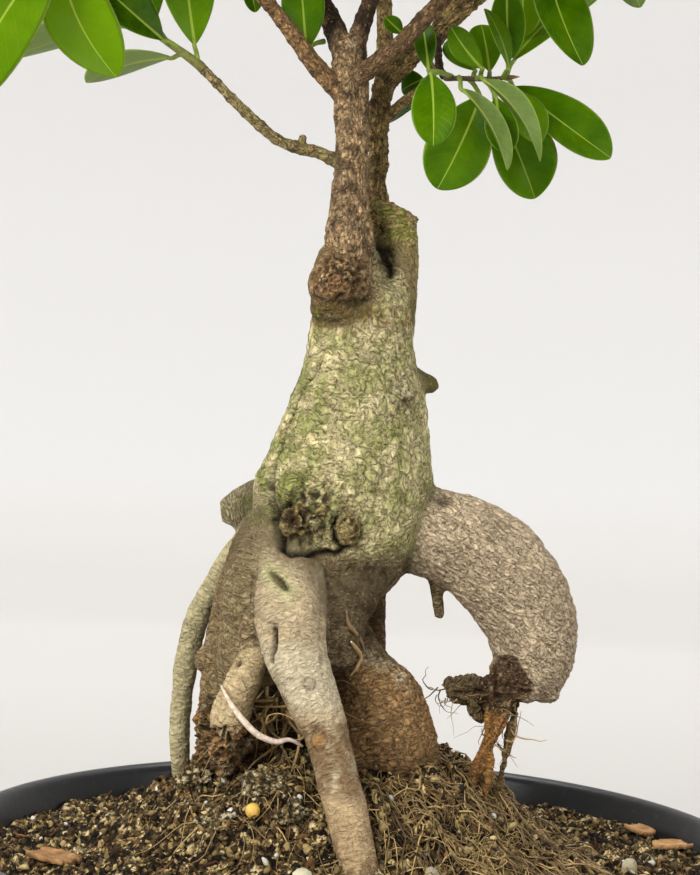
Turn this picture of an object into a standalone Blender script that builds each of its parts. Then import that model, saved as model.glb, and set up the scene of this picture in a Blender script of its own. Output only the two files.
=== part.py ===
"""A grafted "ginseng" fig bonsai in a round plastic nursery pan. Metres, +Z up.

The origin is the centre of the pan's flat underside. The tree's broad face looks along -Y.
Roots, stems and branches are swept along lists of (x, y, z, radius) points. Leaves are lofted
blades, some placed by hand and the rest set out round each shoot at the golden angle.
"""

import math
import random

import bmesh
import bpy
import numpy as np
from mathutils import Matrix, Vector
from mathutils.bvhtree import BVHTree

# Driving dimensions
GAP = 0.0003                 # clearance left between pieces that touch
POT_HEIGHT = 0.100
POT_FOOT_RADIUS = 0.084
POT_MOUTH_RADIUS = 0.1095    # outside of the wall, just under the rim
POT_WALL = 0.0022
POT_FLOOR = 0.003
RIM_BEAD_RADIUS = 0.0038
RIM_RADIUS = 0.1163          # outermost point of the rolled rim
DRAIN_HOLES = 6
DRAIN_RADIUS = 0.005
DRAIN_RING = 0.055
SOIL_LEVEL = 0.0915
MOUND_HEIGHT = 0.030
MOUND_CENTRE = (-0.006, 0.004)
MOUND_RADIUS = 0.053
PAN_SIDES = 36
LEAF_LENGTH = 0.038
LEAF_ASPECT = 0.54           # blade width over blade length
LEAF_THICKNESS = 0.0010
PETIOLE_RADIUS = 0.0008
GOLDEN_ANGLE = math.radians(137.5)
SHOOT_PER_LEAF = 0.0052      # length of shoot for each leaf on it
LEAF_SPACING = 0.0006        # half the room kept between neighbouring leaves
PLACE_ATTEMPTS = 30
BLADE_ARCH = 0.24            # how far a blade bows up, by its length
BLADE_FOLD = 0.18            # how far its margins lift, by its half width
BLADE_STATIONS = (0.28, 0.64)
BARK_VOXEL = 0.0016
BARK_KEPT_SHARE = 0.06       # of the faces of the fused skin
ROOT_SIDES = 12

# The rootstock, as (x, y, z, radius) along each limb
ROOTSTOCK = {
    "caudex": [
        (-0.0044, 0.002, 0.2545, 0.0140), (-0.0045, 0.002, 0.2385, 0.0157),
        (-0.0043, 0.001, 0.224, 0.0196), (-0.0055, 0.000, 0.2095, 0.0232),
        (-0.0075, -0.001, 0.195, 0.0264), (-0.0112, -0.002, 0.184, 0.0243),
        (-0.0160, -0.001, 0.174, 0.0200), (-0.0190, 0.000, 0.164, 0.0160),
    ],
    "top_stub": [
        (0.0036, 0.006, 0.2825, 0.0068), (0.0044, 0.006, 0.273, 0.0066),
        (0.0038, 0.005, 0.261, 0.0078), (0.0010, 0.004, 0.246, 0.0100),
    ],
    "graft_collar": [
        (-0.0107, -0.004, 0.2665, 0.0066), (-0.0105, -0.006, 0.259, 0.0088),
        (-0.0085, -0.003, 0.251, 0.0112),
    ],
    "arch_root": [
        (-0.006, -0.002, 0.190, 0.0150), (0.0076, -0.002, 0.1885, 0.0130),
        (0.0207, -0.002, 0.186, 0.0135), (0.0324, -0.002, 0.1815, 0.0144),
        (0.0417, -0.002, 0.173, 0.0147), (0.0474, -0.002, 0.163, 0.0139),
        (0.0487, -0.002, 0.1525, 0.0124), (0.0462, -0.002, 0.144, 0.0098),
    ],
    "arch_root_tail": [
        (0.0450, -0.002, 0.148, 0.0056), (0.0420, -0.004, 0.1415, 0.0034),
        (0.0398, -0.007, 0.134, 0.0022), (0.0355, -0.009, 0.126, 0.0020),
        (0.0332, -0.010, 0.116, 0.0020), (0.0320, -0.011, 0.104, 0.0020),
    ],
    "left_strand": [
        (0.0400, -0.003, 0.148, 0.0040), (0.0358, -0.005, 0.1390, 0.0021),
        (0.0352, -0.007, 0.1315, 0.0017), (0.0372, -0.009, 0.1225, 0.0017),
        (0.0378, -0.010, 0.1070, 0.0016),
    ],
    "right_strand": [
        (0.0465, 0.000, 0.148, 0.0040), (0.0440, -0.001, 0.1385, 0.0022),
        (0.0418, -0.003, 0.1300, 0.0018), (0.0385, -0.006, 0.1200, 0.0017),
        (0.0350, -0.008, 0.1060, 0.0016),
    ],
    "broken_end": [
        (0.0440, -0.001, 0.1445, 0.0070), (0.0401, 0.000, 0.142, 0.0058),
        (0.0339, 0.002, 0.1414, 0.0046), (0.0247, 0.004, 0.142, 0.0034),
    ],
    "right_lobe": [
        (-0.0110, 0.002, 0.173, 0.0118), (-0.0078, 0.000, 0.160, 0.0084),
        (-0.0022, -0.004, 0.149, 0.0090), (0.0044, -0.007, 0.1376, 0.0135),
        (0.0072, -0.008, 0.126, 0.0153), (0.0088, -0.008, 0.116, 0.0138),
        (0.0098, -0.008, 0.102, 0.0095),
    ],
    "rear_lobe": [
        (-0.0150, 0.010, 0.178, 0.0140), (-0.0190, 0.014, 0.160, 0.0118),
        (-0.0200, 0.016, 0.142, 0.0115), (-0.0190, 0.016, 0.122, 0.0108),
        (-0.0180, 0.015, 0.102, 0.0080),
    ],
    "back_root": [
        (-0.0010, 0.018, 0.186, 0.0060), (0.0019, 0.025, 0.176, 0.0044),
        (0.0033, 0.028, 0.158, 0.0038), (0.0041, 0.028, 0.139, 0.0040),
        (0.0064, 0.026, 0.115, 0.0042), (0.0076, 0.024, 0.098, 0.0034),
    ],
    "left_lobe": [
        (-0.0200, 0.000, 0.186, 0.0150), (-0.0285, 0.000, 0.1766, 0.0120),
        (-0.0345, -0.002, 0.161, 0.0100), (-0.0361, -0.004, 0.147, 0.0098),
        (-0.0367, -0.004, 0.1326, 0.0096), (-0.0365, -0.004, 0.118, 0.0104),
        (-0.0350, -0.004, 0.103, 0.0080),
    ],
    "left_web": [
        (-0.0230, -0.006, 0.184, 0.0130), (-0.0290, -0.009, 0.170, 0.0122),
        (-0.0310, -0.010, 0.158, 0.0112), (-0.0320, -0.008, 0.146, 0.0096),
    ],
    "right_web": [
        (-0.0030, -0.003, 0.184, 0.0140), (-0.0042, -0.004, 0.1745, 0.0106),
        (-0.0065, -0.005, 0.167, 0.0088), (-0.0082, -0.006, 0.1595, 0.0074),
        (-0.0094, -0.007, 0.151, 0.0070),
    ],
    "front_root": [
        (-0.0220, -0.014, 0.181, 0.0112), (-0.0214, -0.020, 0.174, 0.0104),
        (-0.0206, -0.026, 0.1624, 0.0098), (-0.0182, -0.030, 0.153, 0.0086),
        (-0.0140, -0.034, 0.143, 0.0077), (-0.0096, -0.037, 0.134, 0.0063),
        (-0.0059, -0.041, 0.123, 0.0058), (-0.0025, -0.046, 0.1124, 0.0057),
        (0.0005, -0.051, 0.1018, 0.0056), (0.0030, -0.056, 0.0925, 0.0052),
        (0.0045, -0.060, 0.0820, 0.0044),
    ],
    "toe_root": [
        (-0.0275, -0.016, 0.160, 0.0050), (-0.0307, -0.0225, 0.1506, 0.0046),
        (-0.0337, -0.0255, 0.1422, 0.0050), (-0.0358, -0.0255, 0.1355, 0.0054),
        (-0.0366, -0.0235, 0.1290, 0.0045), (-0.0370, -0.0205, 0.1190, 0.0030),
    ],
    "prop_root": [
        (-0.0240, 0.012, 0.194, 0.0050), (-0.0314, 0.014, 0.1874, 0.0037),
        (-0.0387, 0.014, 0.178, 0.0036), (-0.0458, 0.012, 0.1656, 0.0035),
        (-0.0496, 0.010, 0.156, 0.0035), (-0.0515, 0.009, 0.1456, 0.0035),
        (-0.0524, 0.008, 0.134, 0.0032), (-0.0526, 0.008, 0.122, 0.0030),
        (-0.0510, 0.008, 0.109, 0.0029), (-0.0493, 0.008, 0.096, 0.0026),
    ],
    "left_stub": [
        (-0.0200, 0.014, 0.199, 0.0060), (-0.0280, 0.016, 0.1960, 0.0058),
        (-0.0354, 0.017, 0.192, 0.0062), (-0.0410, 0.018, 0.1880, 0.0056),
    ],
    "loop_rootlet": [
        (0.0200, -0.002, 0.176, 0.0026), (0.0206, -0.002, 0.169, 0.0021),
        (0.0214, -0.003, 0.1625, 0.0017),
    ],
    "right_stub": [
        (0.0060, 0.002, 0.231, 0.0045), (0.0117, 0.002, 0.2305, 0.0036),
        (0.0175, 0.002, 0.229, 0.0023),
    ],
}

# Burls and knots on the rootstock, as centre and half-sizes
BURLS = [
    ((-0.0165, -0.0185, 0.1915), (0.0130, 0.0085, 0.0125)),
    ((-0.0208, -0.0235, 0.1893), (0.0050, 0.0044, 0.0052)),
    ((-0.0060, -0.0240, 0.1880), (0.0038, 0.0038, 0.0040)),
    ((-0.0210, -0.0210, 0.1985), (0.0056, 0.0046, 0.0040)),
    ((-0.0105, -0.0080, 0.2560), (0.0098, 0.0085, 0.0090)),
    ((-0.0445, -0.0060, 0.1480), (0.0036, 0.0040, 0.0042)),
]

# The grafted stems and their branches, as (x, y, z, radius)
STEM_FRONT = {
    "main": [
        (-0.0092, -0.0045, 0.256, 0.0056), (-0.0090, -0.006, 0.266, 0.0062),
        (-0.0092, -0.007, 0.273, 0.0063), (-0.0094, -0.007, 0.281, 0.0057),
        (-0.0093, -0.007, 0.292, 0.0049), (-0.0102, -0.007, 0.306, 0.0049),
        (-0.0110, -0.007, 0.3177, 0.0054), (-0.0113, -0.007, 0.3250, 0.0048),
    ],
    "up_left": [
        (-0.0112, -0.007, 0.3090, 0.0030), (-0.0200, -0.010, 0.317, 0.0027),
        (-0.0253, -0.012, 0.323, 0.0024), (-0.0303, -0.014, 0.329, 0.0022),
        (-0.0346, -0.016, 0.3335, 0.0020), (-0.0398, -0.018, 0.338, 0.0018),
        (-0.0480, -0.024, 0.350, 0.0016), (-0.0560, -0.030, 0.362, 0.0013),
    ],
    "up_left_back": [
        (-0.0480, -0.024, 0.350, 0.0014), (-0.0545, -0.017, 0.354, 0.0013),
        (-0.0600, -0.010, 0.357, 0.0012),
    ],
    "up_left_front": [
        (-0.0398, -0.018, 0.338, 0.0015), (-0.0520, -0.027, 0.346, 0.0014),
        (-0.0680, -0.034, 0.350, 0.0013), (-0.0790, -0.038, 0.349, 0.0012),
    ],
    "centre_left": [
        (-0.0120, -0.007, 0.3200, 0.0036), (-0.0165, -0.002, 0.3314, 0.0032),
        (-0.0206, 0.002, 0.3394, 0.0029), (-0.0252, 0.006, 0.349, 0.0024),
        (-0.0300, 0.014, 0.362, 0.0020), (-0.0360, 0.024, 0.376, 0.0016),
        (-0.0400, 0.032, 0.390, 0.0013),
    ],
    "centre_left_side": [
        (-0.0300, 0.014, 0.362, 0.0015), (-0.0460, 0.016, 0.370, 0.0014),
        (-0.0600, 0.019, 0.377, 0.0012),
    ],
    "centre_left_back": [
        (-0.0360, 0.024, 0.376, 0.0014), (-0.0430, 0.042, 0.380, 0.0013),
        (-0.0460, 0.056, 0.383, 0.0012),
    ],
    "centre": [
        (-0.0105, -0.007, 0.3215, 0.0030), (-0.0081, -0.008, 0.3304, 0.0027),
        (-0.0061, -0.008, 0.3376, 0.0024), (-0.0037, -0.006, 0.348, 0.0021),
        (-0.0040, -0.008, 0.364, 0.0018), (-0.0080, -0.014, 0.382, 0.0016),
        (-0.0100, -0.018, 0.398, 0.0013),
    ],
    "centre_top": [
        (-0.0080, -0.014, 0.382, 0.0014), (0.0030, -0.024, 0.396, 0.0013),
        (0.0080, -0.030, 0.404, 0.0012),
    ],
    "centre_left_top": [
        (-0.0360, 0.024, 0.376, 0.0014), (-0.0280, 0.030, 0.392, 0.0013),
        (-0.0250, 0.033, 0.401, 0.0012),
    ],
    "up_left_top": [
        (-0.0480, -0.024, 0.350, 0.0014), (-0.0470, -0.026, 0.366, 0.0013),
        (-0.0450, -0.027, 0.377, 0.0012),
    ],
    "centre_front": [
        (-0.0040, -0.008, 0.364, 0.0014), (-0.0140, -0.026, 0.368, 0.0013),
        (-0.0210, -0.042, 0.373, 0.0012),
    ],
    "centre_side": [
        (-0.0080, -0.014, 0.382, 0.0014), (-0.0240, -0.012, 0.394, 0.0013),
        (-0.0350, -0.009, 0.404, 0.0012),
    ],
    "front_right": [
        (-0.0095, -0.009, 0.3145, 0.0030), (-0.0026, -0.014, 0.3194, 0.0026),
        (0.0033, -0.018, 0.3236, 0.0025), (0.0093, -0.022, 0.330, 0.0024),
        (0.0149, -0.026, 0.3355, 0.0021), (0.0208, -0.030, 0.343, 0.0017),
        (0.0280, -0.040, 0.353, 0.0014), (0.0340, -0.050, 0.364, 0.0012),
    ],
    "front_right_side": [
        (0.0208, -0.030, 0.343, 0.0014), (0.0140, -0.046, 0.350, 0.0013),
        (0.0080, -0.060, 0.357, 0.0012),
    ],
    "low_left": [
        (-0.0100, -0.0065, 0.2895, 0.0021), (-0.0184, -0.009, 0.2933, 0.0018),
        (-0.0241, -0.011, 0.294, 0.0018), (-0.0306, -0.013, 0.296, 0.0016),
        (-0.0366, -0.015, 0.3003, 0.0016), (-0.0423, -0.017, 0.305, 0.0015),
        (-0.0480, -0.019, 0.3102, 0.0014), (-0.0517, -0.020, 0.3135, 0.0014),
    ],
    "low_left_spur": [
        (-0.0238, -0.011, 0.2935, 0.0014), (-0.0234, -0.012, 0.2972, 0.0011),
    ],
}

STEM_REAR = {
    "main": [
        (0.0012, 0.0070, 0.272, 0.0038), (-0.0005, 0.008, 0.2786, 0.0036),
        (-0.0014, 0.008, 0.286, 0.0033), (-0.0019, 0.008, 0.2976, 0.0033),
        (-0.0021, 0.009, 0.3096, 0.0033), (-0.0004, 0.010, 0.3187, 0.0035),
        (0.0049, 0.010, 0.3248, 0.0035), (0.0120, 0.008, 0.3305, 0.0033),
        (0.0180, 0.006, 0.3368, 0.0032), (0.0252, 0.004, 0.3433, 0.0029),
        (0.0340, 0.004, 0.3540, 0.0025), (0.0440, 0.006, 0.366, 0.0020),
        (0.0530, 0.008, 0.377, 0.0015),
    ],
    "right_front": [
        (0.0340, 0.004, 0.354, 0.0017), (0.0430, -0.014, 0.360, 0.0014),
        (0.0520, -0.028, 0.366, 0.0012),
    ],
    "right_back": [
        (0.0440, 0.006, 0.366, 0.0016), (0.0510, 0.026, 0.372, 0.0014),
        (0.0570, 0.042, 0.377, 0.0012),
    ],
    "right_top": [
        (0.0440, 0.006, 0.366, 0.0015), (0.0430, 0.016, 0.382, 0.0013),
        (0.0440, 0.021, 0.392, 0.0012),
    ],
    "right_front_low": [
        (0.0430, -0.014, 0.360, 0.0013), (0.0550, -0.019, 0.362, 0.0012),
        (0.0660, -0.024, 0.363, 0.0011),
    ],
    "right_side": [
        (0.0440, 0.006, 0.366, 0.0016), (0.0600, 0.003, 0.370, 0.0014),
        (0.0740, 0.000, 0.373, 0.0012),
    ],
    "riser": [
        (0.0180, 0.006, 0.3368, 0.0026), (0.0205, 0.009, 0.352, 0.0023),
        (0.0205, 0.012, 0.372, 0.0019), (0.0185, 0.010, 0.391, 0.0016),
        (0.0160, 0.008, 0.408, 0.0013),
    ],
    "riser_right": [
        (0.0205, 0.012, 0.372, 0.0015), (0.0310, 0.000, 0.388, 0.0013),
        (0.0370, -0.008, 0.399, 0.0012),
    ],
    "riser_left": [
        (0.0185, 0.010, 0.391, 0.0014), (0.0040, 0.018, 0.405, 0.0013),
        (-0.0040, 0.023, 0.413, 0.0012),
    ],
    "riser_back": [
        (0.0205, 0.009, 0.352, 0.0015), (0.0250, 0.030, 0.366, 0.0013),
        (0.0280, 0.048, 0.374, 0.0012),
    ],
    "back": [
        (-0.0009, 0.010, 0.3150, 0.0028), (-0.0011, 0.014, 0.3298, 0.0025),
        (-0.0019, 0.016, 0.3422, 0.0024), (-0.0036, 0.018, 0.3545, 0.0021),
        (-0.0040, 0.026, 0.368, 0.0018), (-0.0040, 0.036, 0.384, 0.0015),
        (-0.0040, 0.044, 0.397, 0.0013),
    ],
    "back_low": [
        (-0.0040, 0.026, 0.368, 0.0014), (-0.0120, 0.046, 0.376, 0.0013),
        (-0.0170, 0.062, 0.381, 0.0012),
    ],
    "back_right": [
        (-0.0040, 0.036, 0.384, 0.0014), (0.0120, 0.046, 0.393, 0.0013),
        (0.0220, 0.054, 0.400, 0.0012),
    ],
    "drooping_twig": [
        (0.0130, 0.007, 0.3315, 0.0016), (0.0139, -0.001, 0.3260, 0.0013),
        (0.0146, -0.0055, 0.3195, 0.0012), (0.0160, -0.0085, 0.3168, 0.0012),
    ],
    "short_twig": [
        (0.0100, 0.010, 0.3290, 0.0016), (0.0125, 0.013, 0.3240, 0.0013),
        (0.0135, 0.014, 0.3205, 0.0012),
    ],
    "hanging_twig": [
        (0.0350, 0.004, 0.3553, 0.0014), (0.0372, -0.003, 0.3585, 0.0012),
        (0.0374, -0.008, 0.3590, 0.0010),
    ],
    "rear_spur": [
        (-0.0010, 0.0085, 0.3060, 0.0017), (0.0050, 0.003, 0.3112, 0.0015),
        (0.0094, -0.002, 0.3138, 0.0012),
    ],
}

# Shoots whose leaves are placed one by one: the branch that ends in the shoot, the shoot's further
# points, and its leaves. Each leaf is the point where its petiole leaves the shoot, the blade's base
# and tip, the blade's width, and the way its glossy upper side faces.
PLACED_SPRAYS = {
    "low_left": {
        "branch": "low_left",
        "shoot": [(-0.0570, -0.0215, 0.3172, 0.0012), (-0.0640, -0.0225, 0.3215, 0.0009)],
        "leaves": [
            ((-0.0530, -0.0205, 0.3145), (-0.0541, -0.0215, 0.3195), (-0.0600, -0.019, 0.3560),
             0.0165, (0.25, -0.90, 0.30)),
            ((-0.0580, -0.0216, 0.3180), (-0.0625, -0.0245, 0.3200), (-0.0890, -0.033, 0.3410),
             0.0175, (-0.25, -0.75, 0.60)),
            ((-0.0560, -0.0212, 0.3166), (-0.0607, -0.0160, 0.3172), (-0.0862, -0.006, 0.3111),
             0.0120, (0.00, 0.35, 0.94)),
            ((-0.0620, -0.0222, 0.3203), (-0.0665, -0.0150, 0.3260), (-0.0720, 0.004, 0.3500),
             0.0150, (-0.40, -0.30, 0.85)),
            ((-0.0632, -0.0224, 0.3210), (-0.0750, -0.0160, 0.3255), (-0.1085, -0.010, 0.3158),
             0.0150, (-0.05, 0.35, 0.93)),
        ],
    },
    "left": {
        "branch": "up_left_front",
        "shoot": [(-0.0850, -0.0400, 0.3478, 0.0011), (-0.0910, -0.0415, 0.3475, 0.0009)],
        "leaves": [
            ((-0.0850, -0.0400, 0.3478), (-0.0890, -0.0420, 0.3400), (-0.0728, -0.040, 0.3062),
             0.0190, (0.15, -0.90, 0.35)),
            ((-0.0880, -0.0407, 0.3477), (-0.0872, -0.0490, 0.3400), (-0.1120, -0.057, 0.2910),
             0.0190, (0.45, -0.85, 0.30)),
            ((-0.0890, -0.0410, 0.3476), (-0.0950, -0.0360, 0.3500), (-0.1180, -0.020, 0.3520),
             0.0170, (-0.10, 0.15, 0.98)),
            ((-0.0905, -0.0414, 0.3475), (-0.0920, -0.0490, 0.3530), (-0.1060, -0.070, 0.3650),
             0.0180, (-0.40, -0.50, 0.75)),
        ],
    },
    "right_drooping": {
        "branch": "drooping_twig",
        "shoot": [(0.0200, -0.0100, 0.3160, 0.0012), (0.0275, -0.0105, 0.3160, 0.0011),
                  (0.0335, -0.0110, 0.3166, 0.0009)],
        "leaves": [
            ((0.0172, -0.0091, 0.3166), (0.0112, -0.0130, 0.3172), (0.0087, -0.012, 0.3312),
             0.0066, (-0.30, -0.92, 0.20)),
            ((0.0180, -0.0093, 0.3165), (0.0116, -0.0195, 0.3152), (0.0128, -0.029, 0.2935),
             0.0125, (0.00, -0.93, 0.36)),
            ((0.0225, -0.0101, 0.3162), (0.0265, -0.0060, 0.3120), (0.0155, -0.004, 0.2852),
             0.0185, (0.05, -0.97, 0.22)),
            ((0.0200, -0.0097, 0.3163), (0.0205, -0.0175, 0.3118), (0.0340, -0.022, 0.2888),
             0.0110, (0.90, 0.30, 0.30)),
            ((0.0290, -0.0106, 0.3161), (0.0318, 0.0070, 0.3130), (0.0452, 0.0125, 0.2860),
             0.0185, (0.02, -0.98, 0.18)),
            ((0.0250, -0.0103, 0.3161), (0.0265, -0.0200, 0.3140), (0.0425, -0.026, 0.2910),
             0.0120, (0.78, 0.35, 0.52)),
            ((0.0310, -0.0108, 0.3163), (0.0330, -0.0080, 0.3135), (0.0440, -0.0095, 0.2985),
             0.0125, (0.25, -0.90, 0.36)),
            ((0.0330, -0.0110, 0.3166), (0.0365, 0.0005, 0.3165), (0.0650, -0.002, 0.2965),
             0.0160, (0.10, -0.88, 0.46)),
            ((0.0270, -0.0105, 0.3160), (0.0305, -0.0135, 0.3105), (0.0340, -0.0165, 0.2945),
             0.0095, (0.05, -0.95, 0.30)),
            ((0.0260, -0.0104, 0.3160), (0.0262, -0.0150, 0.3180), (0.0168, -0.0165, 0.3290),
             0.0075, (-0.55, -0.78, 0.28)),
            ((0.0285, -0.0106, 0.3160), (0.0289, -0.0060, 0.3190), (0.0262, -0.001, 0.3335),
             0.0100, (0.00, -0.95, 0.30)),
            ((0.0325, -0.0110, 0.3165), (0.0336, -0.0155, 0.3180), (0.0258, -0.0185, 0.3340),
             0.0085, (0.72, -0.62, 0.30)),
            ((0.0240, -0.0102, 0.3161), (0.0250, -0.0030, 0.3198), (0.0172, 0.004, 0.3300),
             0.0095, (-0.20, -0.90, 0.40)),
            ((0.0332, -0.0110, 0.3166), (0.0360, 0.0010, 0.3240), (0.0630, 0.012, 0.3505),
             0.0140, (-0.30, -0.80, 0.50)),
        ],
    },
    "right_upper": {
        "branch": "right_front",
        "shoot": [(0.0540, -0.0340, 0.3665, 0.0011), (0.0530, -0.0380, 0.3640, 0.0009)],
        "leaves": [
            ((0.0539, -0.0345, 0.3662), (0.0410, -0.0260, 0.3500), (0.0520, -0.034, 0.3160),
             0.0155, (0.20, -0.92, 0.30)),
            ((0.0537, -0.0352, 0.3658), (0.0530, -0.0400, 0.3560), (0.0655, -0.0440, 0.3300),
             0.0150, (0.30, 0.50, 0.80)),
            ((0.0534, -0.0364, 0.3650), (0.0430, -0.0400, 0.3590), (0.0300, -0.0560, 0.3440),
             0.0160, (-0.30, -0.60, 0.75)),
            ((0.0532, -0.0373, 0.3644), (0.0540, -0.0470, 0.3620), (0.0600, -0.0800, 0.3590),
             0.0190, (0.10, -0.30, 0.95)),
        ],
    },
    "hanging": {
        "branch": "hanging_twig",
        "shoot": [(0.0372, -0.0115, 0.3575, 0.0010), (0.0362, -0.0120, 0.3520, 0.0009)],
        "leaves": [
            ((0.0365, -0.0119, 0.3540), (0.0325, -0.0090, 0.3440), (0.0340, -0.0120, 0.3215),
             0.0100, (0.05, -0.98, 0.15)),
            ((0.0363, -0.0120, 0.3528), (0.0372, -0.0020, 0.3470), (0.0386, 0.0015, 0.3310),
             0.0100, (0.10, -0.97, 0.20)),
        ],
    },
    "behind_stem": {
        "branch": "short_twig",
        "shoot": [(0.0138, 0.0148, 0.3170, 0.0011), (0.0136, 0.0150, 0.3140, 0.0009)],
        "leaves": [
            ((0.0135, 0.0148, 0.3155), (0.0115, 0.0170, 0.3145), (0.0000, 0.0230, 0.3080),
             0.0120, (-0.20, -0.60, 0.78)),
            ((0.0136, 0.0144, 0.3190), (0.0110, 0.0130, 0.3200), (0.0045, 0.0170, 0.3170),
             0.0090, (-0.10, -0.90, 0.40)),
            ((0.0134, 0.0150, 0.3145), (0.0155, 0.0210, 0.3120), (0.0200, 0.0420, 0.3060),
             0.0150, (0.10, 0.40, 0.90)),
        ],
    },
}

# Single leaves straight on a branch, in the same order: petiole, base, tip, width, facing
SINGLE_LEAVES = [
    ((-0.0188, -0.0036, 0.3262), (-0.0236, -0.0080, 0.3226), (-0.0263, -0.0100, 0.3440),
     0.0125, (0.10, -0.95, 0.25)),
    ((-0.0400, -0.0148, 0.3395), (-0.0412, -0.0110, 0.3412), (-0.0385, -0.0085, 0.3325),
     0.0060, (0.20, -0.90, 0.30)),
    ((0.0057, 0.0090, 0.3313), (0.0038, 0.0090, 0.3322), (-0.0015, 0.0090, 0.3368),
     0.0055, (0.00, -0.90, 0.40)),
]

# Shoots that carry leaves all round: the branch that each ends, its direction and its leaf count
ROUND_SPRAYS = [
    ("up_left", (-0.70, -0.40, 0.60), 7),
    ("up_left_back", (-0.90, 0.15, 0.35), 7),
    ("centre_left", (-0.35, 0.40, 0.85), 8),
    ("centre_left_side", (-0.85, 0.15, 0.50), 7),
    ("centre_left_back", (-0.35, 0.90, 0.25), 7),
    ("centre", (-0.10, -0.30, 0.95), 8),
    ("centre_front", (-0.35, -0.80, 0.50), 7),
    ("centre_side", (-0.65, -0.05, 0.75), 8),
    ("front_right", (0.35, -0.75, 0.50), 7),
    ("front_right_side", (-0.10, -0.95, 0.35), 6),
    ("right_tip", (0.65, 0.10, 0.75), 8),
    ("right_back", (0.55, 0.80, 0.30), 7),
    ("right_side", (0.95, -0.15, 0.25), 7),
    ("riser", (0.00, -0.10, 1.00), 8),
    ("riser_right", (0.50, -0.45, 0.75), 8),
    ("riser_left", (-0.50, 0.30, 0.80), 8),
    ("riser_back", (0.15, 0.95, 0.30), 7),
    ("back", (-0.05, 0.55, 0.85), 8),
    ("back_low", (-0.25, 0.95, 0.25), 7),
    ("back_right", (0.50, 0.60, 0.65), 8),
    ("centre_top", (0.30, -0.55, 0.80), 7),
    ("centre_left_top", (0.05, 0.35, 0.95), 7),
    ("up_left_top", (-0.10, -0.35, 0.92), 7),
    ("right_top", (0.30, 0.35, 0.90), 7),
    ("right_front_low", (0.85, -0.48, 0.15), 6),
]

# Loose pieces on the potting mix: centre in plan, length, width, thickness, turn in degrees
BARK_CHIPS = [
    ((0.0955, 0.022), 0.010, 0.007, 0.0024, 25),
    ((0.090, 0.046), 0.010, 0.006, 0.0022, 110),
    ((-0.082, -0.030), 0.014, 0.008, 0.0026, -40),
    ((0.062, -0.058), 0.012, 0.007, 0.0024, 70),
]
PRILL_PLACE = (-0.028, -0.039)
PRILL_RADIUS = 0.0021


def clear_scene():
    for old in list(bpy.data.objects):
        bpy.data.objects.remove(old, do_unlink=True)


def material(name, colour, roughness):
    made = bpy.data.materials.new(name)
    made.use_nodes = True
    shader = made.node_tree.nodes["Principled BSDF"]
    shader.inputs["Base Color"].default_value = (*colour, 1.0)
    shader.inputs["Roughness"].default_value = roughness
    shader.inputs["Metallic"].default_value = 0.0
    return made


def new_object(name, bm, finish, smooth=True):
    mesh = bpy.data.meshes.new(name)
    bmesh.ops.recalc_face_normals(bm, faces=bm.faces)
    bm.to_mesh(mesh)
    bm.free()
    if smooth:
        mesh.shade_smooth()
    made = bpy.data.objects.new(name, mesh)
    made.data.materials.append(finish)
    bpy.context.scene.collection.objects.link(made)
    return made


def helper(made):
    """Marks an object that only cuts or joins others."""
    made.hide_render = True
    made.display_type = "WIRE"
    return made


def boolean(target, tool, operation, use_self=False):
    modifier = target.modifiers.new(tool.name, "BOOLEAN")
    modifier.operation = operation
    modifier.solver = "EXACT"
    modifier.use_self = use_self
    modifier.object = tool


# Swept limbs

def smooth_path(points, steps):
    """Catmull-Rom points (x, y, z, radius) through the given ones, with steps to each span."""
    given = np.array(points, float)
    padded = np.vstack([2 * given[0] - given[1], given, 2 * given[-1] - given[-2]])
    path = []
    for a, b, c, d in zip(padded, padded[1:], padded[2:], padded[3:]):
        for t in np.arange(steps) / steps:
            path.append(0.5 * (2 * b + (c - a) * t + (2 * a - 5 * b + 4 * c - d) * t * t
                               + (3 * b - a - 3 * c + d) * t ** 3))
    path.append(given[-1])
    return path


def add_tube(bm, points, sides, steps=1, rounded=False):
    """A tube round the path, with flat ends or blunt rounded ones."""
    path = smooth_path(points, steps)
    places = [Vector(p[:3]) for p in path]
    radii = [float(p[3]) for p in path]
    last = len(path) - 1
    across = Vector((0.31, 0.17, 0.93)).cross(places[1] - places[0]).normalized()
    rings = []
    for i, place in enumerate(places):
        along = (places[min(i + 1, last)] - places[max(i - 1, 0)]).normalized()
        across = (across - along * across.dot(along)).normalized()
        beside = along.cross(across)
        turns = [2 * math.pi * k / sides for k in range(sides)]
        rings.append([bm.verts.new(place + radii[i] * (math.cos(a) * across
                                                       + math.sin(a) * beside)) for a in turns])
    for low, high in zip(rings, rings[1:]):
        for k in range(sides):
            m = (k + 1) % sides
            bm.faces.new((low[k], low[m], high[m], high[k]))
    if not rounded:
        bm.faces.new(rings[0][::-1])
        bm.faces.new(rings[-1])
        return
    ends = ((rings[0][::-1], places[0], places[0] - places[1], radii[0]),
            (rings[-1], places[-1], places[-1] - places[-2], radii[-1]))
    for ring, place, outward, radius in ends:
        tip = bm.verts.new(place + outward.normalized() * radius * 0.6)
        for k in range(sides):
            bm.faces.new((ring[k], ring[(k + 1) % sides], tip))


def add_ball(bm, centre, half_sizes):
    place = Matrix.Translation(centre) @ Matrix.Diagonal((*half_sizes, 1.0))
    bmesh.ops.create_icosphere(bm, subdivisions=2, radius=1.0, matrix=place)


def rootstock_mesh():
    bm = bmesh.new()
    for limb in ROOTSTOCK.values():
        add_tube(bm, limb, sides=ROOT_SIDES, steps=3, rounded=True)
    for centre, half_sizes in BURLS:
        add_ball(bm, centre, half_sizes)
    return bm


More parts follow.
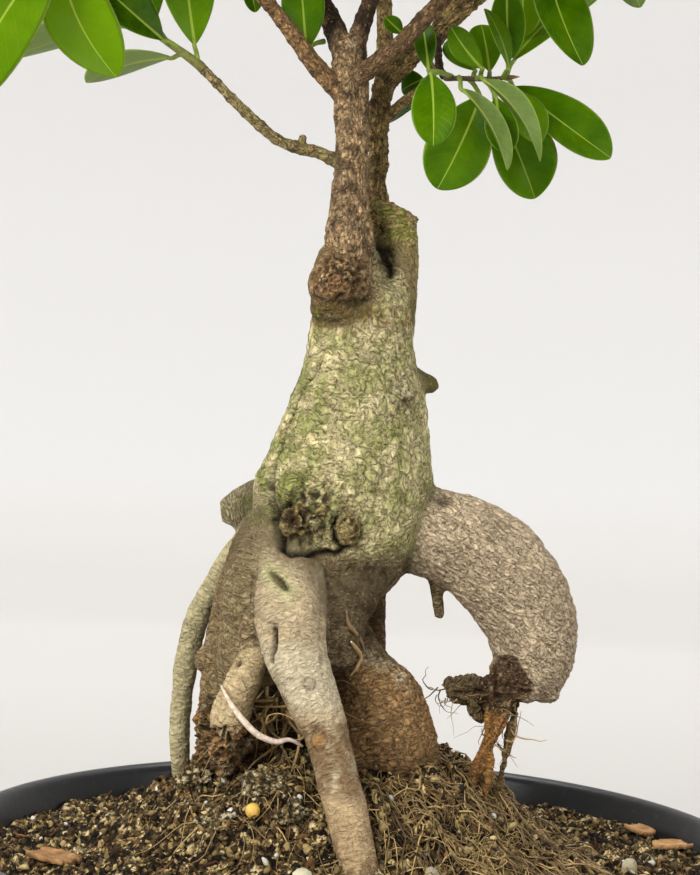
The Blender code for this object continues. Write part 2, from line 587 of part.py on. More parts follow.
def grown_together(made):
    """Fuses overlapping limbs into one skin, rounds the forks, then thins the mesh."""
    fuse = made.modifiers.new("fuse", "REMESH")
    fuse.mode = "VOXEL"
    fuse.voxel_size = BARK_VOXEL
    ease = made.modifiers.new("ease", "SMOOTH")
    ease.factor = 0.5
    ease.iterations = 3
    thin = made.modifiers.new("thin", "DECIMATE")
    thin.ratio = BARK_KEPT_SHARE


def make_trunk(bark):
    trunk = new_object("trunk", rootstock_mesh(), bark)
    grown_together(trunk)
    clearance = helper(new_object("trunk_clearance", rootstock_mesh(), bark))
    grown_together(clearance)
    swell = clearance.modifiers.new("swell", "DISPLACE")
    swell.strength = 1.5 * GAP
    swell.mid_level = 0.0
    return trunk, clearance


def make_stem(name, branches, bark, clearance):
    """The main stem with its branches united, cut back to where it meets the rootstock."""
    main = bmesh.new()
    add_tube(main, branches["main"], sides=10, steps=2)
    stem = new_object(name, main, bark)
    rest = bmesh.new()
    for title, points in branches.items():
        if title != "main":
            add_tube(rest, points, sides=6)
    boolean(stem, helper(new_object(name + "_branches", rest, bark)), "UNION", use_self=True)
    boolean(stem, clearance, "DIFFERENCE")
    return stem


# Pan and potting mix

def turned(name, profile, finish, sides):
    """A solid turned round the Z axis from (radius, height) points listed from axis to axis."""
    bm = bmesh.new()
    rings = []
    for radius, height in profile:
        if radius == 0:
            rings.append([bm.verts.new((0, 0, height))])
            continue
        turns = [2 * math.pi * k / sides for k in range(sides)]
        rings.append([bm.verts.new((radius * math.cos(a), radius * math.sin(a), height))
                      for a in turns])
    for low, high in zip(rings, rings[1:]):
        for k in range(sides):
            m = (k + 1) % sides
            corners = [low[k % len(low)], low[m % len(low)],
                       high[m % len(high)], high[k % len(high)]]
            bm.faces.new(list(dict.fromkeys(corners)))
    return new_object(name, bm, finish)


def wall_radius(height):
    """Inside radius of the pan's wall."""
    share = height / (POT_HEIGHT - 2 * RIM_BEAD_RADIUS)
    return POT_FOOT_RADIUS + (POT_MOUTH_RADIUS - POT_FOOT_RADIUS) * share - POT_WALL


def make_pot(plastic):
    under_bead = POT_HEIGHT - 2 * RIM_BEAD_RADIUS
    bead = (RIM_RADIUS - RIM_BEAD_RADIUS, POT_HEIGHT - RIM_BEAD_RADIUS)
    profile = [(0, 0), (POT_FOOT_RADIUS - 0.002, 0), (POT_FOOT_RADIUS, 0.002),
               (POT_MOUTH_RADIUS, under_bead)]
    for degrees in (-110, -60, -15, 30, 75, 120, 165):
        a = math.radians(degrees)
        profile.append((bead[0] + RIM_BEAD_RADIUS * math.cos(a),
                        bead[1] + RIM_BEAD_RADIUS * math.sin(a)))
    profile += [(wall_radius(under_bead), under_bead), (wall_radius(0.006), 0.006),
                (wall_radius(0.006) - 0.003, POT_FLOOR), (0, POT_FLOOR)]
    pot = turned("pot", profile, plastic, PAN_SIDES)
    holes = bmesh.new()
    for k in range(DRAIN_HOLES):
        a = 2 * math.pi * k / DRAIN_HOLES
        place = Matrix.Translation((DRAIN_RING * math.cos(a), DRAIN_RING * math.sin(a), 0))
        bmesh.ops.create_cone(holes, cap_ends=True, segments=12, radius1=DRAIN_RADIUS,
                              radius2=DRAIN_RADIUS, depth=4 * POT_FLOOR, matrix=place)
    boolean(pot, helper(new_object("drain_holes", holes, plastic)), "DIFFERENCE")
    return pot


def soil_height(x, y):
    """Top of the potting mix: level at the wall, heaped up round the root crown, and lumpy."""
    away = math.hypot(x - MOUND_CENTRE[0], y - MOUND_CENTRE[1]) / MOUND_RADIUS
    heap = MOUND_HEIGHT / (1 + away ** 6)
    lumps = 0.0012 * math.sin(170 * x + 1.3) * math.cos(150 * y) + 0.0008 * math.sin(310 * (x + y))
    return SOIL_LEVEL + heap + lumps


def make_soil(mix, clearance):
    side = 1.3 * GAP
    bottom = POT_FLOOR + GAP
    wall_top = SOIL_LEVEL - 0.001
    profile = [(0, bottom), (wall_radius(0.006) - 0.004, bottom),
               (wall_radius(0.0075) - side, 0.0075), (wall_radius(wall_top) - side, wall_top)]
    for radius in (0.098, 0.084, 0.072, 0.062, 0.054, 0.046, 0.036, 0.020, 0):
        profile.append((radius, 1.0))
    soil = turned("soil", profile, mix, PAN_SIDES)
    for vertex in soil.data.vertices:
        if vertex.co.z == 1.0:
            vertex.co.z = soil_height(vertex.co.x, vertex.co.y)
    soil.data.update()
    boolean(soil, clearance, "DIFFERENCE")
    return soil


def make_loose_pieces(bark, feed):
    for number, (centre, length, width, thickness, turn) in enumerate(BARK_CHIPS, 1):
        bm = bmesh.new()
        corners = [(-0.5, -0.30), (-0.1, -0.5), (0.42, -0.38), (0.5, 0.1), (0.1, 0.5), (-0.45, 0.28)]
        flat = [bm.verts.new((length * u, width * v, 0)) for u, v in corners]
        raised = bmesh.ops.extrude_face_region(bm, geom=[bm.faces.new(flat)])["geom"]
        for item in raised:
            if isinstance(item, bmesh.types.BMVert):
                item.co += Vector((0.0004, 0.0003, thickness))
        chip = new_object(f"bark_chip_{number}", bm, bark, smooth=False)
        a = math.radians(turn)
        reach = 0.5 * length
        under = max(soil_height(centre[0] + u * reach, centre[1] + v * reach)
                    for u in (-1, -0.5, 0, 0.5, 1) for v in (-1, -0.5, 0, 0.5, 1))
        chip.location = (*centre, under + 2 * GAP)
        chip.rotation_euler = (0, 0, a)
    bm = bmesh.new()
    bmesh.ops.create_icosphere(bm, subdivisions=2, radius=PRILL_RADIUS)
    prill = new_object("fertiliser_prill", bm, feed)
    under = soil_height(*PRILL_PLACE)
    prill.location = (*PRILL_PLACE, under + PRILL_RADIUS + 3 * GAP)


# Leaves

def half_width(width, t):
    """Half the blade's width at the share t of its length: broadest past the middle."""
    return 0.5 * width * math.sin(math.pi * t ** 1.1) ** 0.8


def leaf_axes(leaf):
    """Unit vectors along the blade, out of its upper side, and across it."""
    _, base, tip, _, facing = leaf
    along = (Vector(tip) - Vector(base)).normalized()
    up = Vector(facing)
    up = (up - along * up.dot(along)).normalized()
    return along, up, along.cross(up)


def leaf_sections(leaf):
    """(centre, half width, half thickness) rings from the petiole's foot to near the tip."""
    foot, base, tip, width, _ = (Vector(v) if isinstance(v, tuple) else v for v in leaf)
    along, up, _ = leaf_axes(leaf)
    length = (tip - base).length
    sections = [(foot, PETIOLE_RADIUS, PETIOLE_RADIUS), (base, PETIOLE_RADIUS, PETIOLE_RADIUS)]
    for t in BLADE_STATIONS:
        arch = BLADE_ARCH * length * t * (1 - t)
        sections.append((base + along * length * t + up * arch, half_width(width, t),
                         0.5 * LEAF_THICKNESS))
    return sections


def add_leaf(bm, leaf, thicker=0.0, skip_foot=0.0):
    """One closed leaf: petiole and blade. skip_foot leaves out that share of the petiole."""
    _, up, side = leaf_axes(leaf)
    sections = leaf_sections(leaf)
    foot = sections[0][0].lerp(sections[1][0], skip_foot)
    sections[0] = (foot, *sections[0][1:])
    rings = []
    for centre, half, thick in sections:
        across = side * (half + thicker)
        out = up * (thick + thicker)
        fold = up * BLADE_FOLD * half
        rings.append([bm.verts.new(centre + across + fold), bm.verts.new(centre + out),
                      bm.verts.new(centre - across + fold), bm.verts.new(centre - out)])
    for low, high in zip(rings, rings[1:]):
        for k in range(4):
            m = (k + 1) % 4
            bm.faces.new((low[k], low[m], high[m], high[k]))
    bm.faces.new(rings[0][::-1])
    tip = bm.verts.new(leaf[2])
    for k in range(4):
        bm.faces.new((rings[-1][k], rings[-1][(k + 1) % 4], tip))


def tree_of(fill):
    """A search tree over the mesh that fill adds."""
    bm = bmesh.new()
    fill(bm)
    bmesh.ops.triangulate(bm, faces=bm.faces)
    found = BVHTree.FromBMesh(bm)
    points = [v.co.copy() for v in bm.verts]
    bm.free()
    return found, points


def crown_floor(place):
    """The underside of the crown, which rises to the back and to the right."""
    return 0.3415 + 0.045 * place.x + 0.245 * place.y


def round_leaf(foot, axis, share, turn, size):
    """A leaf that leaves the shoot at a turn round it, opening less near the shoot's end."""
    sideways = axis.orthogonal().normalized()
    radial = sideways * math.cos(turn) + axis.cross(sideways) * math.sin(turn)
    opening = math.radians(78 - 46 * share)
    outward = axis * math.cos(opening) + radial * math.sin(opening)
    outward = (outward + Vector((0, 0, -0.18 * (1 - share)))).normalized()
    length = LEAF_LENGTH * size * (1 - 0.22 * share)
    base = foot + (outward + 0.25 * axis).normalized() * 0.19 * length
    tip = base + outward * length
    facing = axis * 0.8 - radial * 0.35 + Vector((0, 0, 0.65))
    return tuple(foot), tuple(base), tuple(tip), LEAF_ASPECT * length, tuple(facing)


def shoot_from(branch, points):
    """A shoot's path: face to face with the branch's flat end, then through the points."""
    end, before = (Vector(branch[k][:3]) for k in (-1, -2))
    along = (end - before).normalized()
    radius = branch[-1][3]
    start = [(*(end + along * reach), radius) for reach in (GAP, GAP + radius)]
    return start + points


def round_shoot(branch, direction, count):
    end = Vector(branch[-1][:3])
    axis = Vector(direction).normalized()
    length = SHOOT_PER_LEAF * count
    return shoot_from(branch, [(*(end + axis * length * s), 0.0012 - 0.0004 * s)
                               for s in (0.5, 1.0)])


def round_leaves(number, shoot, count, taken):
    """Leaves round a shoot, each turned or shortened until it clears everything in taken."""
    chance = random.Random(100 + number)
    low, high = (Vector(shoot[k][:3]) for k in (1, -1))
    axis = (high - low).normalized()
    first_turn = chance.uniform(0, 2 * math.pi)
    leaves = []
    for k in range(count):
        share = (k + 0.6) / count
        foot = low.lerp(high, 0.05 + 0.9 * share)
        size = chance.uniform(0.86, 1.08)
        for attempt in range(PLACE_ATTEMPTS):
            nudge = (attempt + 1) // 2 * (-1) ** attempt * math.radians(12)
            leaf = round_leaf(foot, axis, share, first_turn + k * GOLDEN_ANGLE + nudge,
                              size * (1 - 0.012 * attempt))
            probe, points = tree_of(lambda bm: add_leaf(bm, leaf, LEAF_SPACING, 0.6))
            clear = not any(probe.overlap(other) for other in taken)
            if clear and all(p.z > crown_floor(p) for p in points):
                leaves.append(leaf)
                taken.append(probe)
                break
    return leaves


def crown():
    """All sprays as name -> (shoot, leaves). A single leaf has no shoot."""
    branches = {**STEM_FRONT, **STEM_REAR, "right_tip": STEM_REAR["main"]}
    sprays = {}
    for title, spray in PLACED_SPRAYS.items():
        shoot = shoot_from(branches[spray["branch"]], spray["shoot"])
        sprays["leaf_spray_" + title] = (shoot, spray["leaves"])
    for number, leaf in enumerate(SINGLE_LEAVES, 1):
        sprays[f"leaf_single_{number}"] = (None, [leaf])
    placed = [leaf for _, leaves in sprays.values() for leaf in leaves]
    rounds = {f"leaf_spray_{number:02d}": (round_shoot(branches[branch], direction, count), count)
              for number, (branch, direction, count) in enumerate(ROUND_SPRAYS, 1)}
    tubes = [*STEM_FRONT.values(), *STEM_REAR.values()]
    tubes += [shoot for shoot, _ in [*sprays.values(), *rounds.values()] if shoot]
    taken = [tree_of(lambda bm: add_tube(bm, points, sides=6))[0] for points in tubes]
    taken += [tree_of(lambda bm: add_leaf(bm, leaf, LEAF_SPACING, 0.5))[0] for leaf in placed]
    for number, (name, (shoot, count)) in enumerate(rounds.items(), 1):
        sprays[name] = (shoot, round_leaves(number, shoot, count, taken))
    return sprays


def make_spray(name, shoot, leaves, green):
    if shoot is None:
        bm = bmesh.new()
        add_leaf(bm, leaves[0])
        new_object(name, bm, green)
        return
    stalk = bmesh.new()
    add_tube(stalk, shoot, sides=6)
    spray = new_object(name, stalk, green)
    blades = bmesh.new()
    for leaf in leaves:
        add_leaf(blades, leaf)
    boolean(spray, helper(new_object(name + "_blades", blades, green)), "UNION", use_self=True)


def main():
    clear_scene()
    plastic = material("black_plastic", (0.020, 0.020, 0.022), 0.38)
    mix = material("potting_mix", (0.085, 0.058, 0.030), 0.95)
    root_bark = material("root_bark", (0.36, 0.28, 0.17), 0.80)
    stem_bark = material("stem_bark", (0.20, 0.14, 0.075), 0.85)
    green = material("leaf_green", (0.10, 0.26, 0.012), 0.32)
    chip = material("bark_chip", (0.28, 0.17, 0.08), 0.90)
    feed = material("fertiliser", (0.62, 0.42, 0.12), 0.55)
    _, clearance = make_trunk(root_bark)
    make_stem("stem_front", STEM_FRONT, stem_bark, clearance)
    make_stem("stem_rear", STEM_REAR, stem_bark, clearance)
    make_pot(plastic)
    make_soil(mix, clearance)
    make_loose_pieces(chip, feed)
    for name, (shoot, leaves) in crown().items():
        make_spray(name, shoot, leaves, green)


main()
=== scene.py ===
"""The looks of a potted fig bonsai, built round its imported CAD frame. Metres, +Z up.

The rootstock, the two grafted stems and every leaf are rebuilt finely from the same design points as
the CAD solids, so each piece stands where its node stands.
"""

import math
import random

import bmesh
import bpy
import numpy as np
from mathutils import Matrix, Vector, noise
from mathutils.bvhtree import BVHTree


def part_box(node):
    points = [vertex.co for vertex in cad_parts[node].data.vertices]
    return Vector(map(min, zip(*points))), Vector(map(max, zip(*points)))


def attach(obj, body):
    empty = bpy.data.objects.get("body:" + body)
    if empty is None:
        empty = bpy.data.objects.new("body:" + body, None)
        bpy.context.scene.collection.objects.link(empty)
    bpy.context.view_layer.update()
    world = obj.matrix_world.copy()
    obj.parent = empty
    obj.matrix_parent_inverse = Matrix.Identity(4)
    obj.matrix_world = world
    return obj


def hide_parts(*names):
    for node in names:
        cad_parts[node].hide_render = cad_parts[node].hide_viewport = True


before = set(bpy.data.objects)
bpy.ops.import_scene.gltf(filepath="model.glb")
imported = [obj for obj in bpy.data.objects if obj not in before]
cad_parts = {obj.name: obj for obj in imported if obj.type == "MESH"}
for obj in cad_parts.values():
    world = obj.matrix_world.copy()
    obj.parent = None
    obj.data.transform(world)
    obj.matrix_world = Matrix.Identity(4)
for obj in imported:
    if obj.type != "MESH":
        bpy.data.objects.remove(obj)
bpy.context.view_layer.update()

# Driving dimensions, shared with the CAD model
GAP = 0.0003
POT_HEIGHT = 0.100
POT_FOOT_RADIUS = 0.084
POT_MOUTH_RADIUS = 0.1095
POT_WALL = 0.0022
POT_FLOOR = 0.003
RIM_BEAD_RADIUS = 0.0038
RIM_RADIUS = 0.1163
DRAIN_HOLES = 6
DRAIN_RADIUS = 0.005
DRAIN_RING = 0.055
SOIL_LEVEL = 0.0915
MOUND_HEIGHT = 0.030
MOUND_CENTRE = (-0.006, 0.004)
MOUND_RADIUS = 0.053
LEAF_LENGTH = 0.038
LEAF_ASPECT = 0.54
LEAF_THICKNESS = 0.0010
PETIOLE_RADIUS = 0.0008
GOLDEN_ANGLE = math.radians(137.5)
SHOOT_PER_LEAF = 0.0052
LEAF_SPACING = 0.0006
PLACE_ATTEMPTS = 30

# The design points are in millimetres

def metres(value):
    """Lengths in millimetres, however they are nested, carried to metres."""
    if isinstance(value, dict):
        return {name: metres(part) for name, part in value.items()}
    if isinstance(value, (list, tuple)):
        return type(value)(metres(part) for part in value)
    return round(value / 1000, 7)


def placed_leaves(*leaves):
    """Leaves as (petiole's foot, blade's base, blade's tip, width) in mm, and a facing direction."""
    return [(*metres(leaf[:4]), leaf[4]) for leaf in leaves]


def spray(branch, shoot, *leaves):
    """The branch that ends in the shoot, the shoot's further points, and its leaves."""
    return {"branch": branch, "shoot": metres(shoot), "leaves": placed_leaves(*leaves)}


# The rootstock, as (x, y, z, radius) along each limb
ROOTSTOCK = metres({
    "caudex": [(-4.4, 2, 254.5, 14), (-4.5, 2, 238.5, 15.7), (-4.3, 1, 224, 19.6),
        (-5.5, 0, 209.5, 23.2), (-7.5, -1, 195, 26.4), (-11.2, -2, 184, 24.3), (-16, -1, 174, 20),
        (-19, 0, 164, 16)],
    "top_stub": [(3.6, 6, 282.5, 6.8), (4.4, 6, 273, 6.6), (3.8, 5, 261, 7.8), (1, 4, 246, 10)],
    "graft_collar": [(-10.7, -4, 266.5, 6.6), (-10.5, -6, 259, 8.8), (-8.5, -3, 251, 11.2)],
    "arch_root": [(-6, -2, 190, 15), (7.6, -2, 188.5, 13), (20.7, -2, 186, 13.5),
        (32.4, -2, 181.5, 14.4), (41.7, -2, 173, 14.7), (47.4, -2, 163, 13.9), (48.7, -2, 152.5, 12.4),
        (46.2, -2, 144, 9.8)],
    "arch_root_tail": [(45, -2, 148, 5.6), (42, -4, 141.5, 3.4), (39.8, -7, 134, 2.3),
        (35.5, -9, 126, 2.1), (32.2, -10, 116, 2), (30.6, -11, 104, 2)],
    "left_strand": [(40, -3, 148, 4), (37.2, -5, 139, 1.6), (36.2, -8, 131.5, 1.2),
        (37.4, -11, 122.5, 1.2), (35.2, -13, 107, 1.2)],
    "right_strand": [(46.5, 0, 148, 4), (44.8, -1, 138.5, 1.8), (43.2, -3, 130, 1.4),
        (41.2, -6, 120, 1.4), (39.2, -8, 106, 1.4)],
    "broken_end": [(44, -1, 144.5, 7), (40.1, 0, 142, 5.8), (33.9, 2, 141.4, 4.6), (24.7, 4, 142, 3.4)],
    "right_lobe": [(-11, 2, 173, 11.8), (-7.8, 0, 160, 8.4), (-2.2, -4, 149, 9), (4.4, -7, 137.6, 13.5),
        (7.2, -8, 126, 15.3), (8.8, -8, 116, 13.8), (9.8, -8, 102, 9.5)],
    "rear_lobe": [(-15, 10, 178, 14), (-19, 14, 160, 11.8), (-20, 16, 142, 11.5), (-19, 16, 122, 10.8),
        (-18, 15, 102, 8)],
    "back_root": [(-1, 18, 186, 6), (1.9, 25, 176, 4.4), (3.3, 28, 158, 3.8), (4.1, 28, 139, 4),
        (6.4, 26, 115, 4.2), (7.6, 24, 98, 3.4)],
    "left_lobe": [(-20, 0, 186, 15), (-28.5, 0, 176.6, 12), (-34.5, -2, 161, 10), (-36.1, -4, 147, 9.8),
        (-36.7, -4, 132.6, 9.6), (-36.5, -4, 118, 10.4), (-35, -4, 103, 8)],
    "left_web": [(-23, -9, 184, 13), (-28, -14.5, 170, 12.2), (-30, -15, 158, 11),
        (-32, -11.5, 146, 9.4)],
    "right_web": [(-3.6, -6, 184, 14), (-4.6, -12, 174.5, 11.2), (-7, -15.5, 167, 9.6),
        (-8.8, -16.5, 159.5, 8.2), (-9.4, -15, 151, 7.4)],
    "front_root": [(-22, -14, 181, 11.2), (-21.4, -20, 174, 10.4), (-20.6, -26, 162.4, 9.8),
        (-18.2, -30, 153, 8.6), (-14, -34, 143, 7.7), (-9.6, -37, 134, 6.3), (-5.9, -41, 123, 5.8),
        (-2.5, -46, 112.4, 5.7), (0.5, -51, 101.8, 5.6), (3, -56, 92.5, 5.2), (4.5, -60, 82, 4.4)],
    "toe_root": [(-27.5, -16, 160, 5), (-30.7, -22.5, 150.6, 4.6), (-33.7, -25.5, 142.2, 5),
        (-35.8, -25.5, 135.5, 5.4), (-36.6, -23.5, 129, 4.5), (-37, -20.5, 119, 3)],
    "prop_root": [(-24, 12, 194, 5), (-31.4, 14, 187.4, 3.7), (-38.7, 14, 178, 3.6),
        (-45.8, 12, 165.6, 3.5), (-49.6, 10, 156, 3.5), (-51.5, 9, 145.6, 3.5), (-52.4, 8, 134, 3.2),
        (-52.6, 8, 122, 3), (-51, 8, 109, 2.9), (-49.3, 8, 96, 2.6)],
    "left_stub": [(-20, 14, 199, 6), (-28, 16, 196, 5.8), (-35.4, 17, 192, 6.2), (-41, 18, 188, 5.6)],
    "loop_rootlet": [(20, -2, 176, 2.6), (20.6, -2, 169, 2.1), (21.4, -3, 162.5, 1.7)],
    "right_stub": [(6, 2, 231, 4.5), (11.7, 2, 230.5, 3.6), (17.5, 2, 229, 2.3)],
})

# Small swellings that only the fine bark has
FINE_KNOTS = metres([((53.2, -3, 141.8), (4.2, 5, 2.8)), ((47, -5, 142.5), (5.8, 5, 3.4)),
    ((30, 3, 141.5), (6.6, 4, 4.2)), ((-1.2, 1.5, 266), (3.6, 4, 8)), ((34.5, 1, 139.5), (3, 4, 7))])

# Burls and knots on the rootstock, as centre and half-sizes
BURLS = metres([((-16.5, -18.5, 191.5), (13, 8.5, 12.5)), ((-20.8, -23.5, 189.3), (5, 4.4, 5.2)),
    ((-6, -24, 188), (3.8, 3.8, 4)), ((-21, -21, 198.5), (5.6, 4.6, 4)),
    ((-10.5, -8, 256), (9.8, 8.5, 9)), ((-44.5, -6, 148), (3.6, 4, 4.2))])

# The grafted stems and their branches, as (x, y, z, radius)
STEM_FRONT = metres({
    "main": [(-9.2, -4.5, 256, 6.6), (-9, -6, 266, 7.1), (-9.2, -7, 273, 6.6), (-9.4, -7, 281, 5.7),
        (-9.3, -7, 292, 4.9), (-10.2, -7, 306, 4.9), (-11, -7, 317.7, 5.4), (-11.3, -7, 325, 4.8)],
    "up_left": [(-11.2, -7, 309, 3), (-20, -10, 317, 2.7), (-25.3, -12, 323, 2.4),
        (-30.3, -14, 329, 2.2), (-34.6, -16, 333.5, 2), (-39.8, -18, 338, 1.8), (-48, -24, 350, 1.6),
        (-56, -30, 362, 1.3)],
    "up_left_back": [(-48, -24, 350, 1.4), (-54.5, -17, 354, 1.3), (-60, -10, 357, 1.2)],
    "up_left_front": [(-39.8, -18, 338, 1.5), (-52, -27, 346, 1.4), (-68, -34, 350, 1.3),
        (-79, -38, 349, 1.2)],
    "centre_left": [(-12, -7, 320, 3.6), (-16.5, -2, 331.4, 3.2), (-20.6, 2, 339.4, 2.9),
        (-25.2, 6, 349, 2.4), (-30, 14, 362, 2), (-36, 24, 376, 1.6), (-40, 32, 390, 1.3)],
    "centre_left_side": [(-30, 14, 362, 1.5), (-46, 16, 370, 1.4), (-60, 19, 377, 1.2)],
    "centre_left_back": [(-36, 24, 376, 1.4), (-43, 42, 380, 1.3), (-46, 56, 383, 1.2)],
    "centre": [(-10.5, -7, 321.5, 3), (-8.1, -8, 330.4, 2.7), (-6.1, -8, 337.6, 2.4),
        (-3.7, -6, 348, 2.1), (-4, -8, 364, 1.8), (-8, -14, 382, 1.6), (-10, -18, 398, 1.3)],
    "centre_top": [(-8, -14, 382, 1.4), (3, -24, 396, 1.3), (8, -30, 404, 1.2)],
    "centre_left_top": [(-36, 24, 376, 1.4), (-28, 30, 392, 1.3), (-25, 33, 401, 1.2)],
    "up_left_top": [(-48, -24, 350, 1.4), (-47, -26, 366, 1.3), (-45, -27, 377, 1.2)],
    "centre_front": [(-4, -8, 364, 1.4), (-14, -26, 368, 1.3), (-21, -42, 373, 1.2)],
    "centre_side": [(-8, -14, 382, 1.4), (-24, -12, 394, 1.3), (-35, -9, 404, 1.2)],
    "front_right": [(-9.5, -9, 314.5, 3), (-2.6, -14, 319.4, 2.6), (3.3, -18, 323.6, 2.5),
        (9.3, -22, 330, 2.4), (14.9, -26, 335.5, 2.1), (20.8, -30, 343, 1.7), (28, -40, 353, 1.4),
        (34, -50, 364, 1.2)],
    "front_right_side": [(20.8, -30, 343, 1.4), (14, -46, 350, 1.3), (8, -60, 357, 1.2)],
    "low_left": [(-10, -6.5, 289.5, 2.1), (-18.4, -9, 293.3, 1.8), (-24.1, -11, 294, 1.8),
        (-30.6, -13, 296, 1.6), (-36.6, -15, 300.3, 1.6), (-42.3, -17, 305, 1.5), (-48, -19, 310.2, 1.4),
        (-51.7, -20, 313.5, 1.4)],
    "low_left_spur": [(-23.8, -11, 293.5, 1.4), (-23.4, -12, 297.2, 1.1)],
})

STEM_REAR = metres({
    "main": [(1.2, 7, 272, 3.8), (-0.5, 8, 278.6, 3.6), (-1.4, 8, 286, 3.3), (-1.9, 8, 297.6, 3.3),
        (-2.1, 9, 309.6, 3.3), (-0.4, 10, 318.7, 3.5), (4.9, 10, 324.8, 3.5), (12, 8, 330.5, 3.3),
        (18, 6, 336.8, 3.2), (25.2, 4, 343.3, 2.9), (34, 4, 354, 2.5), (44, 6, 366, 2),
        (53, 8, 377, 1.5)],
    "right_front": [(34, 4, 354, 1.7), (43, -14, 360, 1.4), (52, -28, 366, 1.2)],
    "right_back": [(44, 6, 366, 1.6), (51, 26, 372, 1.4), (57, 42, 377, 1.2)],
    "right_top": [(44, 6, 366, 1.5), (43, 16, 382, 1.3), (44, 21, 392, 1.2)],
    "right_front_low": [(43, -14, 360, 1.3), (55, -19, 362, 1.2), (66, -24, 363, 1.1)],
    "right_side": [(44, 6, 366, 1.6), (60, 3, 370, 1.4), (74, 0, 373, 1.2)],
    "riser": [(18, 6, 336.8, 2.6), (20.5, 9, 352, 2.3), (20.5, 12, 372, 1.9), (18.5, 10, 391, 1.6),
        (16, 8, 408, 1.3)],
    "riser_right": [(20.5, 12, 372, 1.5), (31, 0, 388, 1.3), (37, -8, 399, 1.2)],
    "riser_left": [(18.5, 10, 391, 1.4), (4, 18, 405, 1.3), (-4, 23, 413, 1.2)],
    "riser_back": [(20.5, 9, 352, 1.5), (25, 30, 366, 1.3), (28, 48, 374, 1.2)],
    "back": [(-0.9, 10, 315, 2.8), (-1.1, 14, 329.8, 2.5), (-1.9, 16, 342.2, 2.4),
        (-3.6, 18, 354.5, 2.1), (-4, 26, 368, 1.8), (-4, 36, 384, 1.5), (-4, 44, 397, 1.3)],
    "back_low": [(-4, 26, 368, 1.4), (-12, 46, 376, 1.3), (-17, 62, 381, 1.2)],
    "back_right": [(-4, 36, 384, 1.4), (12, 46, 393, 1.3), (22, 54, 400, 1.2)],
    "drooping_twig": [(13, 7, 331.5, 1.6), (13.9, -1, 326, 1.3), (14.6, -5.5, 319.5, 1.2),
        (16, -8.5, 316.8, 1.2)],
    "short_twig": [(10, 10, 329, 1.6), (12.5, 13, 324, 1.3), (13.5, 14, 320.5, 1.2)],
    "hanging_twig": [(35, 4, 355.3, 1.4), (37.2, -3, 358.5, 1.2), (37.4, -8, 359, 1)],
    "rear_spur": [(-1, 8.5, 306, 1.7), (5, 3, 311.2, 1.5), (9.4, -2, 313.8, 1.2)],
})

